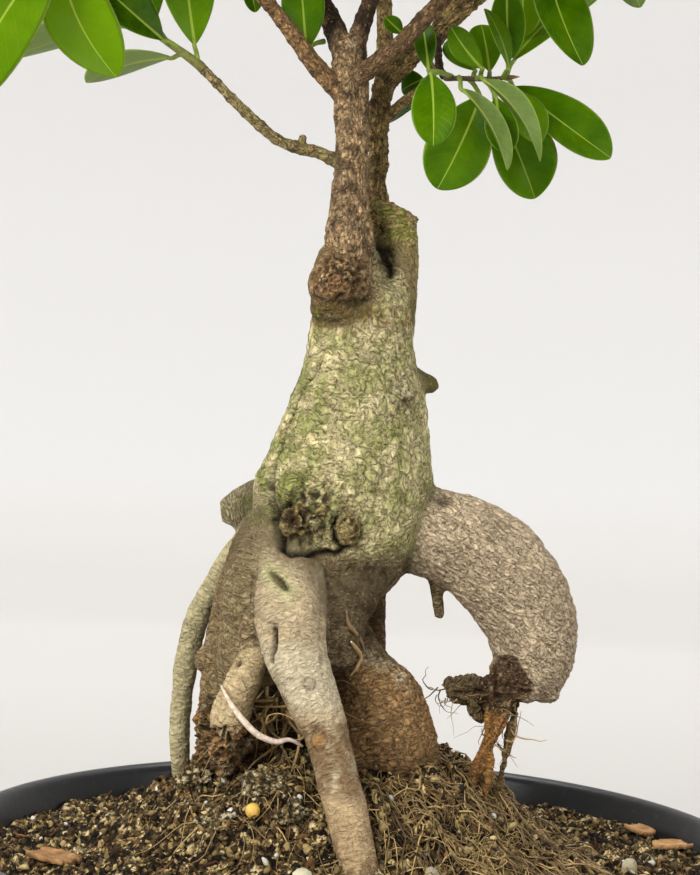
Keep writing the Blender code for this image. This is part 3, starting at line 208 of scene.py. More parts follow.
# Shoots whose leaves are placed one by one. Each leaf's glossy upper side faces its last direction.
PLACED_SPRAYS = {
    "low_left": spray(
        "low_left", [(-57, -21.5, 317.2, 1.2), (-64, -22.5, 321.5, 0.9)],
        ((-53, -20.5, 314.5), (-54.1, -21.5, 319.5), (-60, -19, 356), 16.5, (0.25, -0.9, 0.3)),
        ((-58, -21.6, 318), (-62.5, -24.5, 320), (-89, -33, 341), 17.5, (-0.25, -0.75, 0.6)),
        ((-56, -21.2, 316.6), (-60.7, -16, 317.2), (-86.2, -6, 311.1), 12, (0, 0.35, 0.94)),
        ((-62, -22.2, 320.3), (-66.5, -15, 326), (-72, 4, 350), 15, (-0.4, -0.3, 0.85)),
        ((-63.2, -22.4, 321), (-75, -16, 325.5), (-108.5, -10, 315.8), 15, (-0.05, 0.35, 0.93))),
    "left": spray(
        "up_left_front", [(-85, -40, 347.8, 1.1), (-91, -41.5, 347.5, 0.9)],
        ((-85, -40, 347.8), (-89, -42, 340), (-72.8, -40, 306.2), 19, (0.15, -0.9, 0.35)),
        ((-88, -40.7, 347.7), (-87.2, -49, 340), (-112, -57, 291), 19, (0.45, -0.85, 0.3)),
        ((-89, -41, 347.6), (-95, -36, 350), (-118, -20, 352), 17, (-0.1, 0.15, 0.98)),
        ((-90.5, -41.4, 347.5), (-92, -49, 353), (-106, -70, 365), 18, (-0.4, -0.5, 0.75))),
    "right_drooping": spray(
        "drooping_twig", [(20, -10, 316, 1.2), (27.5, -10.5, 316, 1.1), (33.5, -11, 316.6, 0.9)],
        ((17.2, -9.1, 316.6), (11.2, -13, 317.2), (8.7, -12, 331.2), 6.6, (-0.3, -0.92, 0.2)),
        ((18, -9.3, 316.5), (11.6, -19.5, 315.2), (12.8, -29, 293.5), 12.5, (0, -0.93, 0.36)),
        ((22.5, -10.1, 316.2), (26.5, -6, 312), (15.5, -4, 285.2), 18.5, (0.05, -0.97, 0.22)),
        ((20, -9.7, 316.3), (20.5, -17.5, 311.8), (34, -22, 288.8), 11, (0.9, 0.3, 0.3)),
        ((29, -10.6, 316.1), (31.8, 7, 313), (45.2, 12.5, 286), 18.5, (0.02, -0.98, 0.18)),
        ((25, -10.3, 316.1), (26.5, -20, 314), (42.5, -26, 291), 12, (0.78, 0.35, 0.52)),
        ((31, -10.8, 316.3), (33, -8, 313.5), (44, -9.5, 298.5), 12.5, (0.25, -0.9, 0.36)),
        ((33, -11, 316.6), (36.5, 0.5, 316.5), (65, -2, 296.5), 16, (0.1, -0.88, 0.46)),
        ((27, -10.5, 316), (30.5, -13.5, 310.5), (34, -16.5, 294.5), 9.5, (0.05, -0.95, 0.3)),
        ((26, -10.4, 316), (26.2, -15, 318), (16.8, -16.5, 329), 7.5, (-0.55, -0.78, 0.28)),
        ((28.5, -10.6, 316), (28.9, -6, 319), (26.2, -1, 333.5), 10, (0, -0.95, 0.3)),
        ((32.5, -11, 316.5), (33.6, -15.5, 318), (25.8, -18.5, 334), 8.5, (0.72, -0.62, 0.3)),
        ((24, -10.2, 316.1), (25, -3, 319.8), (17.2, 4, 330), 9.5, (-0.2, -0.9, 0.4)),
        ((33.2, -11, 316.6), (36, 1, 324), (63, 12, 350.5), 14, (-0.3, -0.8, 0.5))),
    "right_upper": spray(
        "right_front", [(54, -34, 366.5, 1.1), (53, -38, 364, 0.9)],
        ((53.9, -34.5, 366.2), (41, -26, 350), (52, -34, 316), 15.5, (0.2, -0.92, 0.3)),
        ((53.7, -35.2, 365.8), (53, -40, 356), (65.5, -44, 330), 15, (0.3, 0.5, 0.8)),
        ((53.4, -36.4, 365), (43, -40, 359), (30, -56, 344), 16, (-0.3, -0.6, 0.75)),
        ((53.2, -37.3, 364.4), (54, -47, 362), (60, -80, 359), 19, (0.1, -0.3, 0.95))),
    "hanging": spray(
        "hanging_twig", [(37.2, -11.5, 357.5, 1), (36.2, -12, 352, 0.9)],
        ((36.5, -11.9, 354), (32.5, -9, 344), (34, -12, 321.5), 10, (0.05, -0.98, 0.15)),
        ((36.3, -12, 352.8), (37.2, -2, 347), (38.6, 1.5, 331), 10, (0.1, -0.97, 0.2))),
    "behind_stem": spray(
        "short_twig", [(13.8, 14.8, 317, 1.1), (13.6, 15, 314, 0.9)],
        ((13.5, 14.8, 315.5), (11.5, 17, 314.5), (0, 23, 308), 12, (-0.2, -0.6, 0.78)),
        ((13.6, 14.4, 319), (11, 13, 320), (4.5, 17, 317), 9, (-0.1, -0.9, 0.4)),
        ((13.4, 15, 314.5), (15.5, 21, 312), (20, 42, 306), 15, (0.1, 0.4, 0.9))),
}

# Single leaves straight on a branch
SINGLE_LEAVES = placed_leaves(
    ((-18.8, -3.6, 326.2), (-23.6, -8, 322.6), (-26.3, -10, 344), 12.5, (0.1, -0.95, 0.25)),
    ((-40, -14.8, 339.5), (-41.2, -11, 341.2), (-38.5, -8.5, 332.5), 6, (0.2, -0.9, 0.3)),
    ((5.7, 9, 331.3), (3.8, 9, 332.2), (-1.5, 9, 336.8), 5.5, (0, -0.9, 0.4)))

# Shoots that carry leaves all round: the branch that each ends, its direction and its leaf count
ROUND_SPRAYS = [("up_left", (-0.7, -0.4, 0.6), 7), ("up_left_back", (-0.9, 0.15, 0.35), 7),
    ("centre_left", (-0.35, 0.4, 0.85), 8), ("centre_left_side", (-0.85, 0.15, 0.5), 7),
    ("centre_left_back", (-0.35, 0.9, 0.25), 7), ("centre", (-0.1, -0.3, 0.95), 8),
    ("centre_front", (-0.35, -0.8, 0.5), 7), ("centre_side", (-0.65, -0.05, 0.75), 8),
    ("front_right", (0.35, -0.75, 0.5), 7), ("front_right_side", (-0.1, -0.95, 0.35), 6),
    ("right_tip", (0.65, 0.1, 0.75), 8), ("right_back", (0.55, 0.8, 0.3), 7),
    ("right_side", (0.95, -0.15, 0.25), 7), ("riser", (0, -0.1, 1), 8),
    ("riser_right", (0.5, -0.45, 0.75), 8), ("riser_left", (-0.5, 0.3, 0.8), 8),
    ("riser_back", (0.15, 0.95, 0.3), 7), ("back", (-0.05, 0.55, 0.85), 8),
    ("back_low", (-0.25, 0.95, 0.25), 7), ("back_right", (0.5, 0.6, 0.65), 8),
    ("centre_top", (0.3, -0.55, 0.8), 7), ("centre_left_top", (0.05, 0.35, 0.95), 7),
    ("up_left_top", (-0.1, -0.35, 0.92), 7), ("right_top", (0.3, 0.35, 0.9), 7),
    ("right_front_low", (0.85, -0.48, 0.15), 6)]

# Colours and shader nodes

def rgb(red, green, blue):
    """A linear colour from its eight-bit sRGB values."""
    shares = [c / 255 for c in (red, green, blue)]
    return tuple(s / 12.92 if s <= 0.04045 else ((s + 0.055) / 1.055) ** 2.4 for s in shares)


class Finish:
    """A node material with its Principled shader, and short calls that add nodes to it."""

    def __init__(self, name, roughness, gloss=0.5):
        self.material = bpy.data.materials.new(name)
        self.material.use_nodes = True
        self.tree = self.material.node_tree
        self.shader = self.tree.nodes["Principled BSDF"]
        self.shader.inputs["Roughness"].default_value = roughness
        self.shader.inputs["Specular IOR Level"].default_value = gloss
        self.place = self.add("ShaderNodeTexCoord").outputs["Object"]

    def add(self, kind, inputs=None, **settings):
        node = self.tree.nodes.new(kind)
        for key, value in settings.items():
            setattr(node, key, value)
        for key, value in (inputs or {}).items():
            if isinstance(value, bpy.types.NodeSocket):
                self.tree.links.new(value, node.inputs[key])
            else:
                node.inputs[key].default_value = value
        return node

    def noise(self, scale, detail=4.0, roughness=0.55, vector=None, distortion=0.0):
        inputs = {"Vector": vector or self.place, "Scale": scale, "Detail": detail,
                  "Roughness": roughness, "Distortion": distortion}
        return self.add("ShaderNodeTexNoise", inputs).outputs["Fac"]

    def cells(self, scale, feature="F1", vector=None, randomness=1.0):
        inputs = {"Vector": vector or self.place, "Scale": scale, "Randomness": randomness}
        return self.add("ShaderNodeTexVoronoi", inputs, feature=feature).outputs["Distance"]

    def stretched(self, vector, scale):
        return self.add("ShaderNodeMapping", {"Vector": vector, "Scale": scale}).outputs["Vector"]

    def maths(self, operation, first, second=0.0, third=0.0, clamp=False):
        node = self.add("ShaderNodeMath", {0: first, 1: second, 2: third},
                        operation=operation, use_clamp=clamp)
        return node.outputs["Value"]

    def times(self, first, second):
        return self.maths("MULTIPLY", first, second)

    def span(self, value, low, high, to_low=0.0, to_high=1.0):
        """The value carried from low..high to to_low..to_high, and held there."""
        inputs = {"Value": value, "From Min": low, "From Max": high,
                  "To Min": to_low, "To Max": to_high}
        return self.add("ShaderNodeMapRange", inputs).outputs["Result"]

    def mix(self, share, first, second, blend="MIX"):
        node = self.add("ShaderNodeMix", data_type="RGBA", blend_type=blend)
        for index, value in ((0, share), (6, first), (7, second)):
            if isinstance(value, bpy.types.NodeSocket):
                self.tree.links.new(value, node.inputs[index])
            else:
                node.inputs[index].default_value = (*value, 1.0) if index else value
        return node.outputs[2]

    def layered(self, colour, *coats):
        """The colour under (share, colour) coats, one over the other."""
        for share, coat in coats:
            colour = self.mix(share, colour, coat)
        return colour

    def attribute(self, name, output="Fac"):
        return self.add("ShaderNodeAttribute", attribute_name=name).outputs[output]

    def parts_of(self, vector):
        return self.add("ShaderNodeSeparateXYZ", {"Vector": vector}).outputs

    def colour(self, value):
        self.tree.links.new(value, self.shader.inputs["Base Color"])

    def rough(self, value):
        self.tree.links.new(value, self.shader.inputs["Roughness"])

    def bump(self, *layers):
        """Bump from (height, distance in metres) layers."""
        normal = None
        for height, distance in layers:
            inputs = {"Height": height, "Distance": distance, "Strength": 1.0}
            if normal:
                inputs["Normal"] = normal
            normal = self.add("ShaderNodeBump", inputs).outputs["Normal"]
        self.tree.links.new(normal, self.shader.inputs["Normal"])


def bent(f, vector, reach, scale=260.0):
    """The vector shifted by noise, so that what is drawn with it wanders."""
    wander = f.add("ShaderNodeTexNoise", {"Vector": f.place, "Scale": scale, "Detail": 3.0})
    centred = f.add("ShaderNodeVectorMath", {0: wander.outputs["Color"], 1: (0.5, 0.5, 0.5)},
                    operation="SUBTRACT").outputs["Vector"]
    return f.add("ShaderNodeVectorMath", {0: centred, 1: (reach, reach, reach), 2: vector},
                 operation="MULTIPLY_ADD").outputs["Vector"]


def bark_finish():
    """Rootstock bark. The mesh carries its large colour patches and how coarse it is."""
    f = Finish("root_bark_fine", 0.85, 0.25)
    paint = f.attribute("paint", "Color")
    coarse = f.attribute("coarse")
    grain = bent(f, f.attribute("grain", "Vector"), 0.0034)
    wrinkle = f.cells(1.0, "DISTANCE_TO_EDGE", f.stretched(grain, (330, 330, 860)))
    flakes = f.noise(1.0, 4.0, 0.65, f.stretched(grain, (520, 520, 1500)))
    specks = f.noise(820, 4.0, 0.65)
    pits = f.cells(560, vector=f.stretched(f.place, (1.0, 1.0, 1.4)))
    # Dark in the cracks between the flakes: painted shade in the crevices
    crack = f.times(f.span(wrinkle, 0.015, 0.16, 1.0, 0.0), f.span(specks, 0.40, 0.58))
    # The flakes are lighter where their bump is highest: partly their own flecking, partly a painted
    # highlight on their tops
    tone = f.mix(f.span(flakes, 0.34, 0.68), (0.60, 0.56, 0.49), (1.42, 1.42, 1.40))
    colour = f.mix(f.span(coarse, 0.0, 1.0, 0.45, 1.0), paint, f.mix(1.0, paint, tone, "MULTIPLY"))
    dark = f.times(f.span(specks, 0.34, 0.47, 0.75, 0.0), coarse)
    pale = f.times(f.span(pits, 0.20, 0.10, 0.0, 0.45), coarse)
    f.colour(f.layered(colour, (f.times(crack, f.times(coarse, 0.80)), rgb(58, 45, 27)),
                       (dark, rgb(66, 50, 30)), (pale, rgb(206, 196, 160))))
    f.rough(f.span(flakes, 0.3, 0.7, 0.94, 0.74))
    ridges = f.times(f.span(wrinkle, 0.0, 0.30), f.span(coarse, 0.0, 1.0, 0.25, 1.0))
    f.bump((ridges, 0.0008), (flakes, 0.0007), (specks, 0.0006), (f.noise(2600, 2.0), 0.00015))
    return f.material


def stem_finish():
    """Bark of the grafted stems: fine upright cracks, corky specks and pale pores."""
    f = Finish("stem_bark_fine", 0.82, 0.25)
    paint = f.attribute("paint", "Color")
    grain = bent(f, f.attribute("grain", "Vector"), 0.0030, 420.0)
    plates = f.cells(1.0, "DISTANCE_TO_EDGE", f.stretched(grain, (820, 820, 420)))
    streaks = f.noise(1.0, 4.0, 0.65, f.stretched(grain, (1500, 1500, 300)))
    specks = f.noise(950, 4.0, 0.65)
    pores = f.cells(460)
    tone = f.mix(f.span(streaks, 0.36, 0.66), (0.44, 0.40, 0.36), (1.46, 1.46, 1.48))
    colour = f.mix(1.0, paint, tone, "MULTIPLY")
    # Dark in the fine cracks: painted shade in the crevices
    crack = f.times(f.span(plates, 0.02, 0.17, 0.85, 0.0), f.span(specks, 0.38, 0.56))
    f.colour(f.layered(colour, (crack, rgb(44, 33, 22)),
                       (f.span(specks, 0.33, 0.46, 0.75, 0.0), rgb(50, 38, 25)),
                       (f.span(pores, 0.17, 0.09, 0.0, 0.55), rgb(200, 174, 134))))
    f.bump((f.span(plates, 0.0, 0.30), 0.0006), (streaks, 0.0006), (specks, 0.0005), (pores, 0.0002))
    return f.material


def leaf_finish(name, under):
    """The glossy upper side or the paler, matt underside."""
    f = Finish(name, 0.30, 0.10 if under else 0.07)
    along, across, tone = list(f.parts_of(f.attribute("blade", "Vector")))[:3]
    across = f.maths("ABSOLUTE", across)
    if under:
        low, mid, high = rgb(70, 90, 36), rgb(96, 117, 54), rgb(136, 152, 98)
        vein_colour, vein_share, roughness, bump = rgb(160, 178, 96), 0.14, 0.46, 0.00012
    else:
        low, mid, high = rgb(24, 54, 0), rgb(54, 88, 0), rgb(98, 132, 1)
        vein_colour, vein_share, roughness, bump = rgb(118, 158, 36), 0.08, 0.22, 0.00008
    veins_at = f.maths("SUBTRACT", f.times(along, 11.0), f.times(across, 2.4))
    veins = f.maths("ABSOLUTE", f.maths("SUBTRACT", f.maths("FRACT", veins_at), 0.5))
    vein = f.span(veins, 0.0, 0.075, 1.0, 0.0)
    rib_width = f.span(along, 0.0, 1.0, 0.50, 0.10)
    rib = f.span(f.maths("DIVIDE", f.attribute("rib"), rib_width), 0.55, 1.15, 1.0, 0.0)
    edge = f.span(across, 0.93, 1.0)
    colour = f.mix(f.span(tone, 0.0, 0.5), low, mid)
    f.colour(f.layered(colour, (f.span(tone, 0.5, 1.0), high),
                       (f.span(f.noise(110, 3.0), 0.35, 0.7, 0.0, 0.40), high),
                       (f.times(vein, vein_share), vein_colour),
                       (f.times(rib, 0.72), rgb(150, 170, 62)),
                       (f.times(edge, 0.6), rgb(176, 196, 92))))
    f.rough(f.span(f.noise(240, 3.0), 0.3, 0.7, roughness, roughness + 0.12))
    f.bump((f.noise(520, 3.0), bump), (f.maths("SUBTRACT", 1.0, vein), 0.00002),
           (f.noise(60, 1.0), 0.0012))
    f.shader.inputs["Subsurface Weight"].default_value = 0.12
    f.shader.inputs["Subsurface Radius"].default_value = (0.45, 1.0, 0.10)
    f.shader.inputs["Subsurface Scale"].default_value = 0.0016
    return f.material


def twig_finish():
    """Young shoots and petioles, painted on the mesh from green to brown."""
    f = Finish("young_twig", 0.55, 0.4)
    paint = f.attribute("paint", "Color")
    specks = f.noise(700, 4.0, 0.65)
    tone = f.mix(f.span(specks, 0.35, 0.65), (0.7, 0.66, 0.6), (1.25, 1.25, 1.2))
    f.colour(f.mix(1.0, paint, tone, "MULTIPLY"))
    f.bump((specks, 0.0004))
    return f.material


def plastic_finish():
    """Black moulded plastic, a little dusty on its upward faces."""
    f = Finish("black_plastic_fine", 0.34, 0.32)
    dust = f.span(f.noise(38, 5.0, 0.65), 0.52, 0.78)
    splashes = f.span(f.noise(210, 3.0, 0.6), 0.60, 0.72)
    up = f.parts_of(f.add("ShaderNodeNewGeometry").outputs["Normal"])[2]
    film = f.times(f.span(up, -0.2, 0.9, 0.25, 1.0), dust)
    f.colour(f.layered(rgb(14, 14, 16), (f.times(film, 0.14), rgb(96, 90, 82)),
                       (f.times(splashes, 0.22), rgb(84, 74, 60))))
    f.rough(f.span(dust, 0.0, 1.0, 0.30, 0.55))
    f.bump((f.noise(1500, 2.0), 0.00006), (f.noise(70, 2.0), 0.0003))
    return f.material


def speckled_finish(name, dark, mid, pale, scale, depth, roughness):
    """A granular material of three colours, used for potting mix, crumbs, chips and stones."""
    f = Finish(name, roughness, 0.2)
    large = f.noise(scale * 0.22, 4.0, 0.6)
    small = f.noise(scale, 4.0, 0.65)
    tone = f.attribute("tone")
    to_mid = f.span(f.maths("ADD", small, f.times(tone, 0.5)), 0.36, 0.72)
    to_pale = f.span(f.maths("ADD", large, f.times(tone, 0.35)), 0.58, 0.86)
    f.colour(f.mix(to_pale, f.mix(to_mid, rgb(*dark), rgb(*mid)), rgb(*pale)))
    f.bump((small, depth), (f.noise(scale * 3, 2.0), depth * 0.3))
    return f.material


def granular_finish(name, shades, scale, depth):
    """Packed grains, each one of five shades, with a finer grit between them and painted shade in the
    gaps.
    """
    f = Finish(name, 0.95, 0.15)
    place = bent(f, f.place, 0.0012, 700.0)
    coarse, fine = (f.add("ShaderNodeTexVoronoi", {"Vector": place, "Scale": size}).outputs
                    for size in (scale, scale * 2.3))
    picks = [f.parts_of(grains["Color"])[0] for grains in (coarse, fine)]
    patches = f.noise(scale * 0.16, 4.0, 0.6)
    pick = f.maths("ADD", f.times(picks[0], 0.55), f.times(picks[1], 0.45))
    pick = f.maths("ADD", pick, f.span(patches, 0.3, 0.7, -0.16, 0.16))
    coats = [(f.span(pick, low, low + 0.07), rgb(*shade))
             for low, shade in zip((0.28, 0.44, 0.60, 0.74), shades[1:])]
    # Dark between the grains: painted shade in the gaps
    gaps = f.span(coarse["Distance"], 0.42, 0.66, 0.0, 0.85)
    f.colour(f.layered(rgb(*shades[0]), *coats, (gaps, rgb(20, 14, 8))))
    domes = [f.span(grains["Distance"], 0.0, 0.7, 1.0, 0.0) for grains in (coarse, fine)]
    f.bump((domes[0], depth), (domes[1], depth * 0.5), (f.noise(scale * 4, 3.0, 0.65), depth * 0.4))
    return f.material


# Meshes

def new_object(name, bm, finishes):
    mesh = bpy.data.meshes.new(name)
    bmesh.ops.recalc_face_normals(bm, faces=bm.faces)
    bm.to_mesh(mesh)
    bm.free()
    mesh.shade_smooth()
    made = bpy.data.objects.new(name, mesh)
    for finish in finishes:
        made.data.materials.append(finish)
    bpy.context.scene.collection.objects.link(made)
    return made


def evaluated(made):
    """The object with its modifiers applied to its mesh."""
    graph = bpy.context.evaluated_depsgraph_get()
    mesh = bpy.data.meshes.new_from_object(made.evaluated_get(graph))
    made.modifiers.clear()
    made.data = mesh
    return made


def put(made, slot, *nodes):
    """The piece rides on the one body and stands for its CAD nodes. The slot is not used."""
    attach(made, "root")
    if nodes:
        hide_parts(*nodes)
    return made


def smooth_path(points, steps):
    """Catmull-Rom points through the given ones, with steps to each span."""
    given = np.array(points, float)
    padded = np.vstack([2 * given[0] - given[1], given, 2 * given[-1] - given[-2]])
    path = []
    for a, b, c, d in zip(padded, padded[1:], padded[2:], padded[3:]):
        for t in np.arange(steps) / steps:
            path.append(0.5 * (2 * b + (c - a) * t + (2 * a - 5 * b + 4 * c - d) * t * t
                               + (3 * b - a - 3 * c + d) * t ** 3))
    path.append(given[-1])
    return path


def add_tube(bm, points, sides, steps=1, rounded=False):
    """A tube round the path (x, y, z, radius), with flat or blunt ends. Returns its rings."""
    path = smooth_path(points, steps)
    places = [Vector(p[:3]) for p in path]
    radii = [float(p[3]) for p in path]
    last = len(path) - 1
    across = Vector((0.31, 0.17, 0.93)).cross(places[1] - places[0]).normalized()
    rings = []
    for i, place in enumerate(places):
        along = (places[min(i + 1, last)] - places[max(i - 1, 0)]).normalized()
        across = (across - along * across.dot(along)).normalized()
        beside = along.cross(across)
        turns = [2 * math.pi * k / sides for k in range(sides)]
        rings.append([bm.verts.new(place + radii[i] * (math.cos(a) * across
                                                       + math.sin(a) * beside)) for a in turns])
    for low, high in zip(rings, rings[1:]):
        for k in range(sides):
            m = (k + 1) % sides
            bm.faces.new((low[k], low[m], high[m], high[k]))
    if not rounded:
        bm.faces.new(rings[0][::-1])
        bm.faces.new(rings[-1])
        return rings
    ends = ((rings[0][::-1], places[0], places[0] - places[1], radii[0]),
            (rings[-1], places[-1], places[-1] - places[-2], radii[-1]))
    for ring, place, outward, radius in ends:
        tip = bm.verts.new(place + outward.normalized() * radius * 0.6)
        for k in range(sides):
            bm.faces.new((ring[k], ring[(k + 1) % sides], tip))
    return rings


def add_ball(bm, centre, half_sizes, subdivisions=3):
    place = Matrix.Translation(centre) @ Matrix.Diagonal((*half_sizes, 1.0))
    return bmesh.ops.create_icosphere(bm, subdivisions=subdivisions, radius=1.0, matrix=place)["verts"]


def fused(name, limbs, balls, voxel, smoothing, sides):
    """One skin grown over the limbs and balls, as a mesh of nearly even quads."""
    bm = bmesh.new()
    for limb in limbs:
        add_tube(bm, limb, sides=sides, steps=6, rounded=True)
    for centre, half_sizes in balls:
        add_ball(bm, centre, half_sizes)
    made = new_object(name, bm, [])
    fuse = made.modifiers.new("fuse", "REMESH")
    fuse.mode = "VOXEL"
    fuse.voxel_size = voxel
    ease = made.modifiers.new("ease", "SMOOTH")
    ease.factor = 0.5
    ease.iterations = smoothing
    return evaluated(made)


class Skin:
    """A mesh's points, normals and neighbours as arrays, for shaping and painting it."""

    def __init__(self, made):
        self.mesh = made.data
        count = len(self.mesh.vertices)
        self.points = np.empty(count * 3)
        self.mesh.vertices.foreach_get("co", self.points)
        self.points = self.points.reshape(-1, 3)
        ends = np.empty(len(self.mesh.edges) * 2, np.int64)
        self.mesh.edges.foreach_get("vertices", ends)
        self.ends = ends.reshape(-1, 2)
        self.joined = np.bincount(self.ends.ravel(), minlength=count).clip(1)
        self.read_normals()

    def read_normals(self):
        self.normals = np.empty(len(self.points) * 3)
        self.mesh.vertices.foreach_get("normal", self.normals)
        self.normals = self.normals.reshape(-1, 3)

    def push(self, amount):
        """Moves every point out along its normal by its amount."""
        self.points += self.normals * np.asarray(amount)[:, None]
        self.mesh.vertices.foreach_set("co", self.points.ravel())
        self.mesh.update()
        self.read_normals()

    def averaged(self, values, rounds=1):
        """Each point's mean over its neighbours, some number of times."""
        first, second = self.ends.T
        for _ in range(rounds):
            total = (np.bincount(first, values[second], len(self.points))
                     + np.bincount(second, values[first], len(self.points)))
            values = 0.5 * values + 0.5 * total / self.joined
        return values

    def hollowness(self, rounds):
        """How far each point lies below the mean of those around it, in metres."""
        mean = np.stack([self.averaged(column, rounds) for column in self.points.T], axis=1)
        return ((mean - self.points) * self.normals).sum(1)

    def store(self, name, values):
        if values.ndim == 2 and values.shape[1] == 4:
            layer = self.mesh.attributes.new(name, "FLOAT_COLOR", "POINT")
            layer.data.foreach_set("color", values.astype(np.float32).ravel())
        elif values.ndim == 2:
            layer = self.mesh.attributes.new(name, "FLOAT_VECTOR", "POINT")
            layer.data.foreach_set("vector", values.astype(np.float32).ravel())
        else:
            layer = self.mesh.attributes.new(name, "FLOAT", "POINT")
            layer.data.foreach_set("value", values.astype(np.float32))

    def tint(self, colour, share):
        """Carries the colours towards an eight-bit sRGB one by each point's share."""
        self.colours = self.colours + (np.array(rgb(*colour)) - self.colours) * share[:, None]

    def paint(self):
        self.store("paint", np.hstack([self.colours.clip(0, 1), np.ones((len(self.colours), 1))]))


def field(points, scale, octaves=2, seed=0.0):
    """Smooth noise of about -1 to 1, with lumps roughly 1 / scale metres across."""
    return np.array([noise.fractal(p, 1.0, 2.0, octaves) for p in (points * scale + seed).tolist()])


def rise(values, low, high):
    """0 below low, 1 above high, and a smooth step between."""
    share = ((values - low) / (high - low)).clip(0, 1)
    return share * share * (3 - 2 * share)


def near(points, centre, reach):
    """1 at the centre, fading to almost 0 at reach."""
    away = np.linalg.norm((points - np.array(centre)) / reach, axis=1)
    return np.exp(-2.5 * away ** 2)


def near_line(points, line, width):
    """1 on the line of points, fading to almost 0 at width from it."""
    found = np.full(len(points), np.inf)
    for a, b in zip(np.array(line), np.array(line)[1:]):
        share = (((points - a) @ (b - a)) / ((b - a) @ (b - a))).clip(0, 1)
        found = np.minimum(found, np.linalg.norm(points - a - share[:, None] * (b - a), axis=1))
    return np.exp(-2.5 * (found / width) ** 2)


def limb_colours(share, colours):
    """Each point's mean of its limbs' eight-bit sRGB colours, made linear."""
    return sum(share[name][:, None] * np.array(rgb(*colour)) for name, colour in colours.items())


def along_limbs(points, limbs, softness):
    """For each point: its share in each limb, and its (round, round, along) grain coordinate."""
    gaps, grains = [], []
    for number, limb in enumerate(limbs):
        path = np.array(smooth_path(limb, 8))
        centre, radius = path[:, :3], path[:, 3]
        steps = np.diff(centre, axis=0)
        tangent = np.vstack([steps, steps[-1]])
        tangent /= np.linalg.norm(tangent, axis=1)[:, None]
        lengths = np.concatenate([[0], np.cumsum(np.linalg.norm(steps, axis=1))])
        squares = (points ** 2).sum(1)[:, None] - 2 * points @ centre.T + (centre ** 2).sum(1)
        surface = np.sqrt(squares.clip(0)) - radius
        best = surface.argmin(1)
        gaps.append(surface[np.arange(len(points)), best])
        offset = points - centre[best]
        forward = (offset * tangent[best]).sum(1)
        radial = offset - forward[:, None] * tangent[best]
        along = lengths[best] + forward
        flat = radial[:, [0, 2]] + 0.6 * radial[:, [1, 1]]
        grains.append(np.column_stack([flat, along + 0.31 * number]))
    gaps = np.array(gaps)
    shares = np.exp(-(gaps - gaps.min(0)) / softness)
    shares /= shares.sum(0)
    main = shares.argmax(0)
    grain = np.array(grains)[main, np.arange(len(points))]
    return shares, grain


# Leaves

def half_width(width, t):
    """Half the blade's width at the share t of its length: broadest past the middle."""
    return 0.5 * width * math.sin(math.pi * t ** 1.1) ** 0.8


def leaf_axes(leaf):
    """Unit vectors along the blade, out of its upper side, and across it."""
    _, base, tip, _, facing = leaf
    along = (Vector(tip) - Vector(base)).normalized()
    up = Vector(facing)
    up = (up - along * up.dot(along)).normalized()
    return along, up, along.cross(up)


def leaf_sections(leaf):
    """(centre, half width, half thickness) rings from the petiole's foot to near the tip."""
    foot, base, tip, width, _ = (Vector(v) if isinstance(v, tuple) else v for v in leaf)
    along, up, _ = leaf_axes(leaf)
    length = (tip - base).length
    round_petiole = PETIOLE_RADIUS
    sections = [(foot, round_petiole, round_petiole), (base, round_petiole, round_petiole)]
    for t in (0.28, 0.64):
        arch = 0.24 * length * t * (1 - t)
        sections.append((base + along * length * t + up * arch, half_width(width, t),
                         0.5 * LEAF_THICKNESS))
    return sections


def add_leaf(bm, leaf, thicker=0.0, skip_foot=0.0):
    """One closed leaf: petiole and blade. skip_foot leaves out that share of the petiole."""
    _, up, side = leaf_axes(leaf)
    sections = leaf_sections(leaf)
    foot = sections[0][0].lerp(sections[1][0], skip_foot)
    sections[0] = (foot, *sections[0][1:])
    rings = []
    for centre, half, thick in sections:
        across = side * (half + thicker)
        out = up * (thick + thicker)
        fold = up * 0.18 * half
        rings.append([bm.verts.new(centre + across + fold), bm.verts.new(centre + out),
                      bm.verts.new(centre - across + fold), bm.verts.new(centre - out)])
    for low, high in zip(rings, rings[1:]):
        for k in range(4):
            m = (k + 1) % 4
            bm.faces.new((low[k], low[m], high[m], high[k]))
    bm.faces.new(rings[0][::-1])
    tip = bm.verts.new(leaf[2])
    for k in range(4):
        bm.faces.new((rings[-1][k], rings[-1][(k + 1) % 4], tip))


def tree_of(fill):
    """A search tree over the mesh that fill adds."""
    bm = bmesh.new()
    fill(bm)
    bmesh.ops.triangulate(bm, faces=bm.faces)
    found = BVHTree.FromBMesh(bm)
    points = [v.co.copy() for v in bm.verts]
    bm.free()
    return found, points


def crown_floor(place):
    """The underside of the crown, which rises to the back and to the right."""
    return 0.3415 + 0.045 * place.x + 0.245 * place.y


def round_leaf(foot, axis, share, turn, size):
    """A leaf that leaves the shoot at a turn round it, opening less near the shoot's end."""
    sideways = axis.orthogonal().normalized()
    radial = sideways * math.cos(turn) + axis.cross(sideways) * math.sin(turn)
    opening = math.radians(78 - 46 * share)
    outward = axis * math.cos(opening) + radial * math.sin(opening)
    outward = (outward + Vector((0, 0, -0.18 * (1 - share)))).normalized()
    length = LEAF_LENGTH * size * (1 - 0.22 * share)
    base = foot + (outward + 0.25 * axis).normalized() * 0.19 * length
    tip = base + outward * length
    facing = axis * 0.8 - radial * 0.35 + Vector((0, 0, 0.65))
    return tuple(foot), tuple(base), tuple(tip), LEAF_ASPECT * length, tuple(facing)


def shoot_from(branch, points):
    """A shoot's path: face to face with the branch's flat end, then through the points."""
    end, before = (Vector(branch[k][:3]) for k in (-1, -2))
    along = (end - before).normalized()
    radius = branch[-1][3]
    start = [(*(end + along * reach), radius) for reach in (GAP, GAP + radius)]
    return start + points


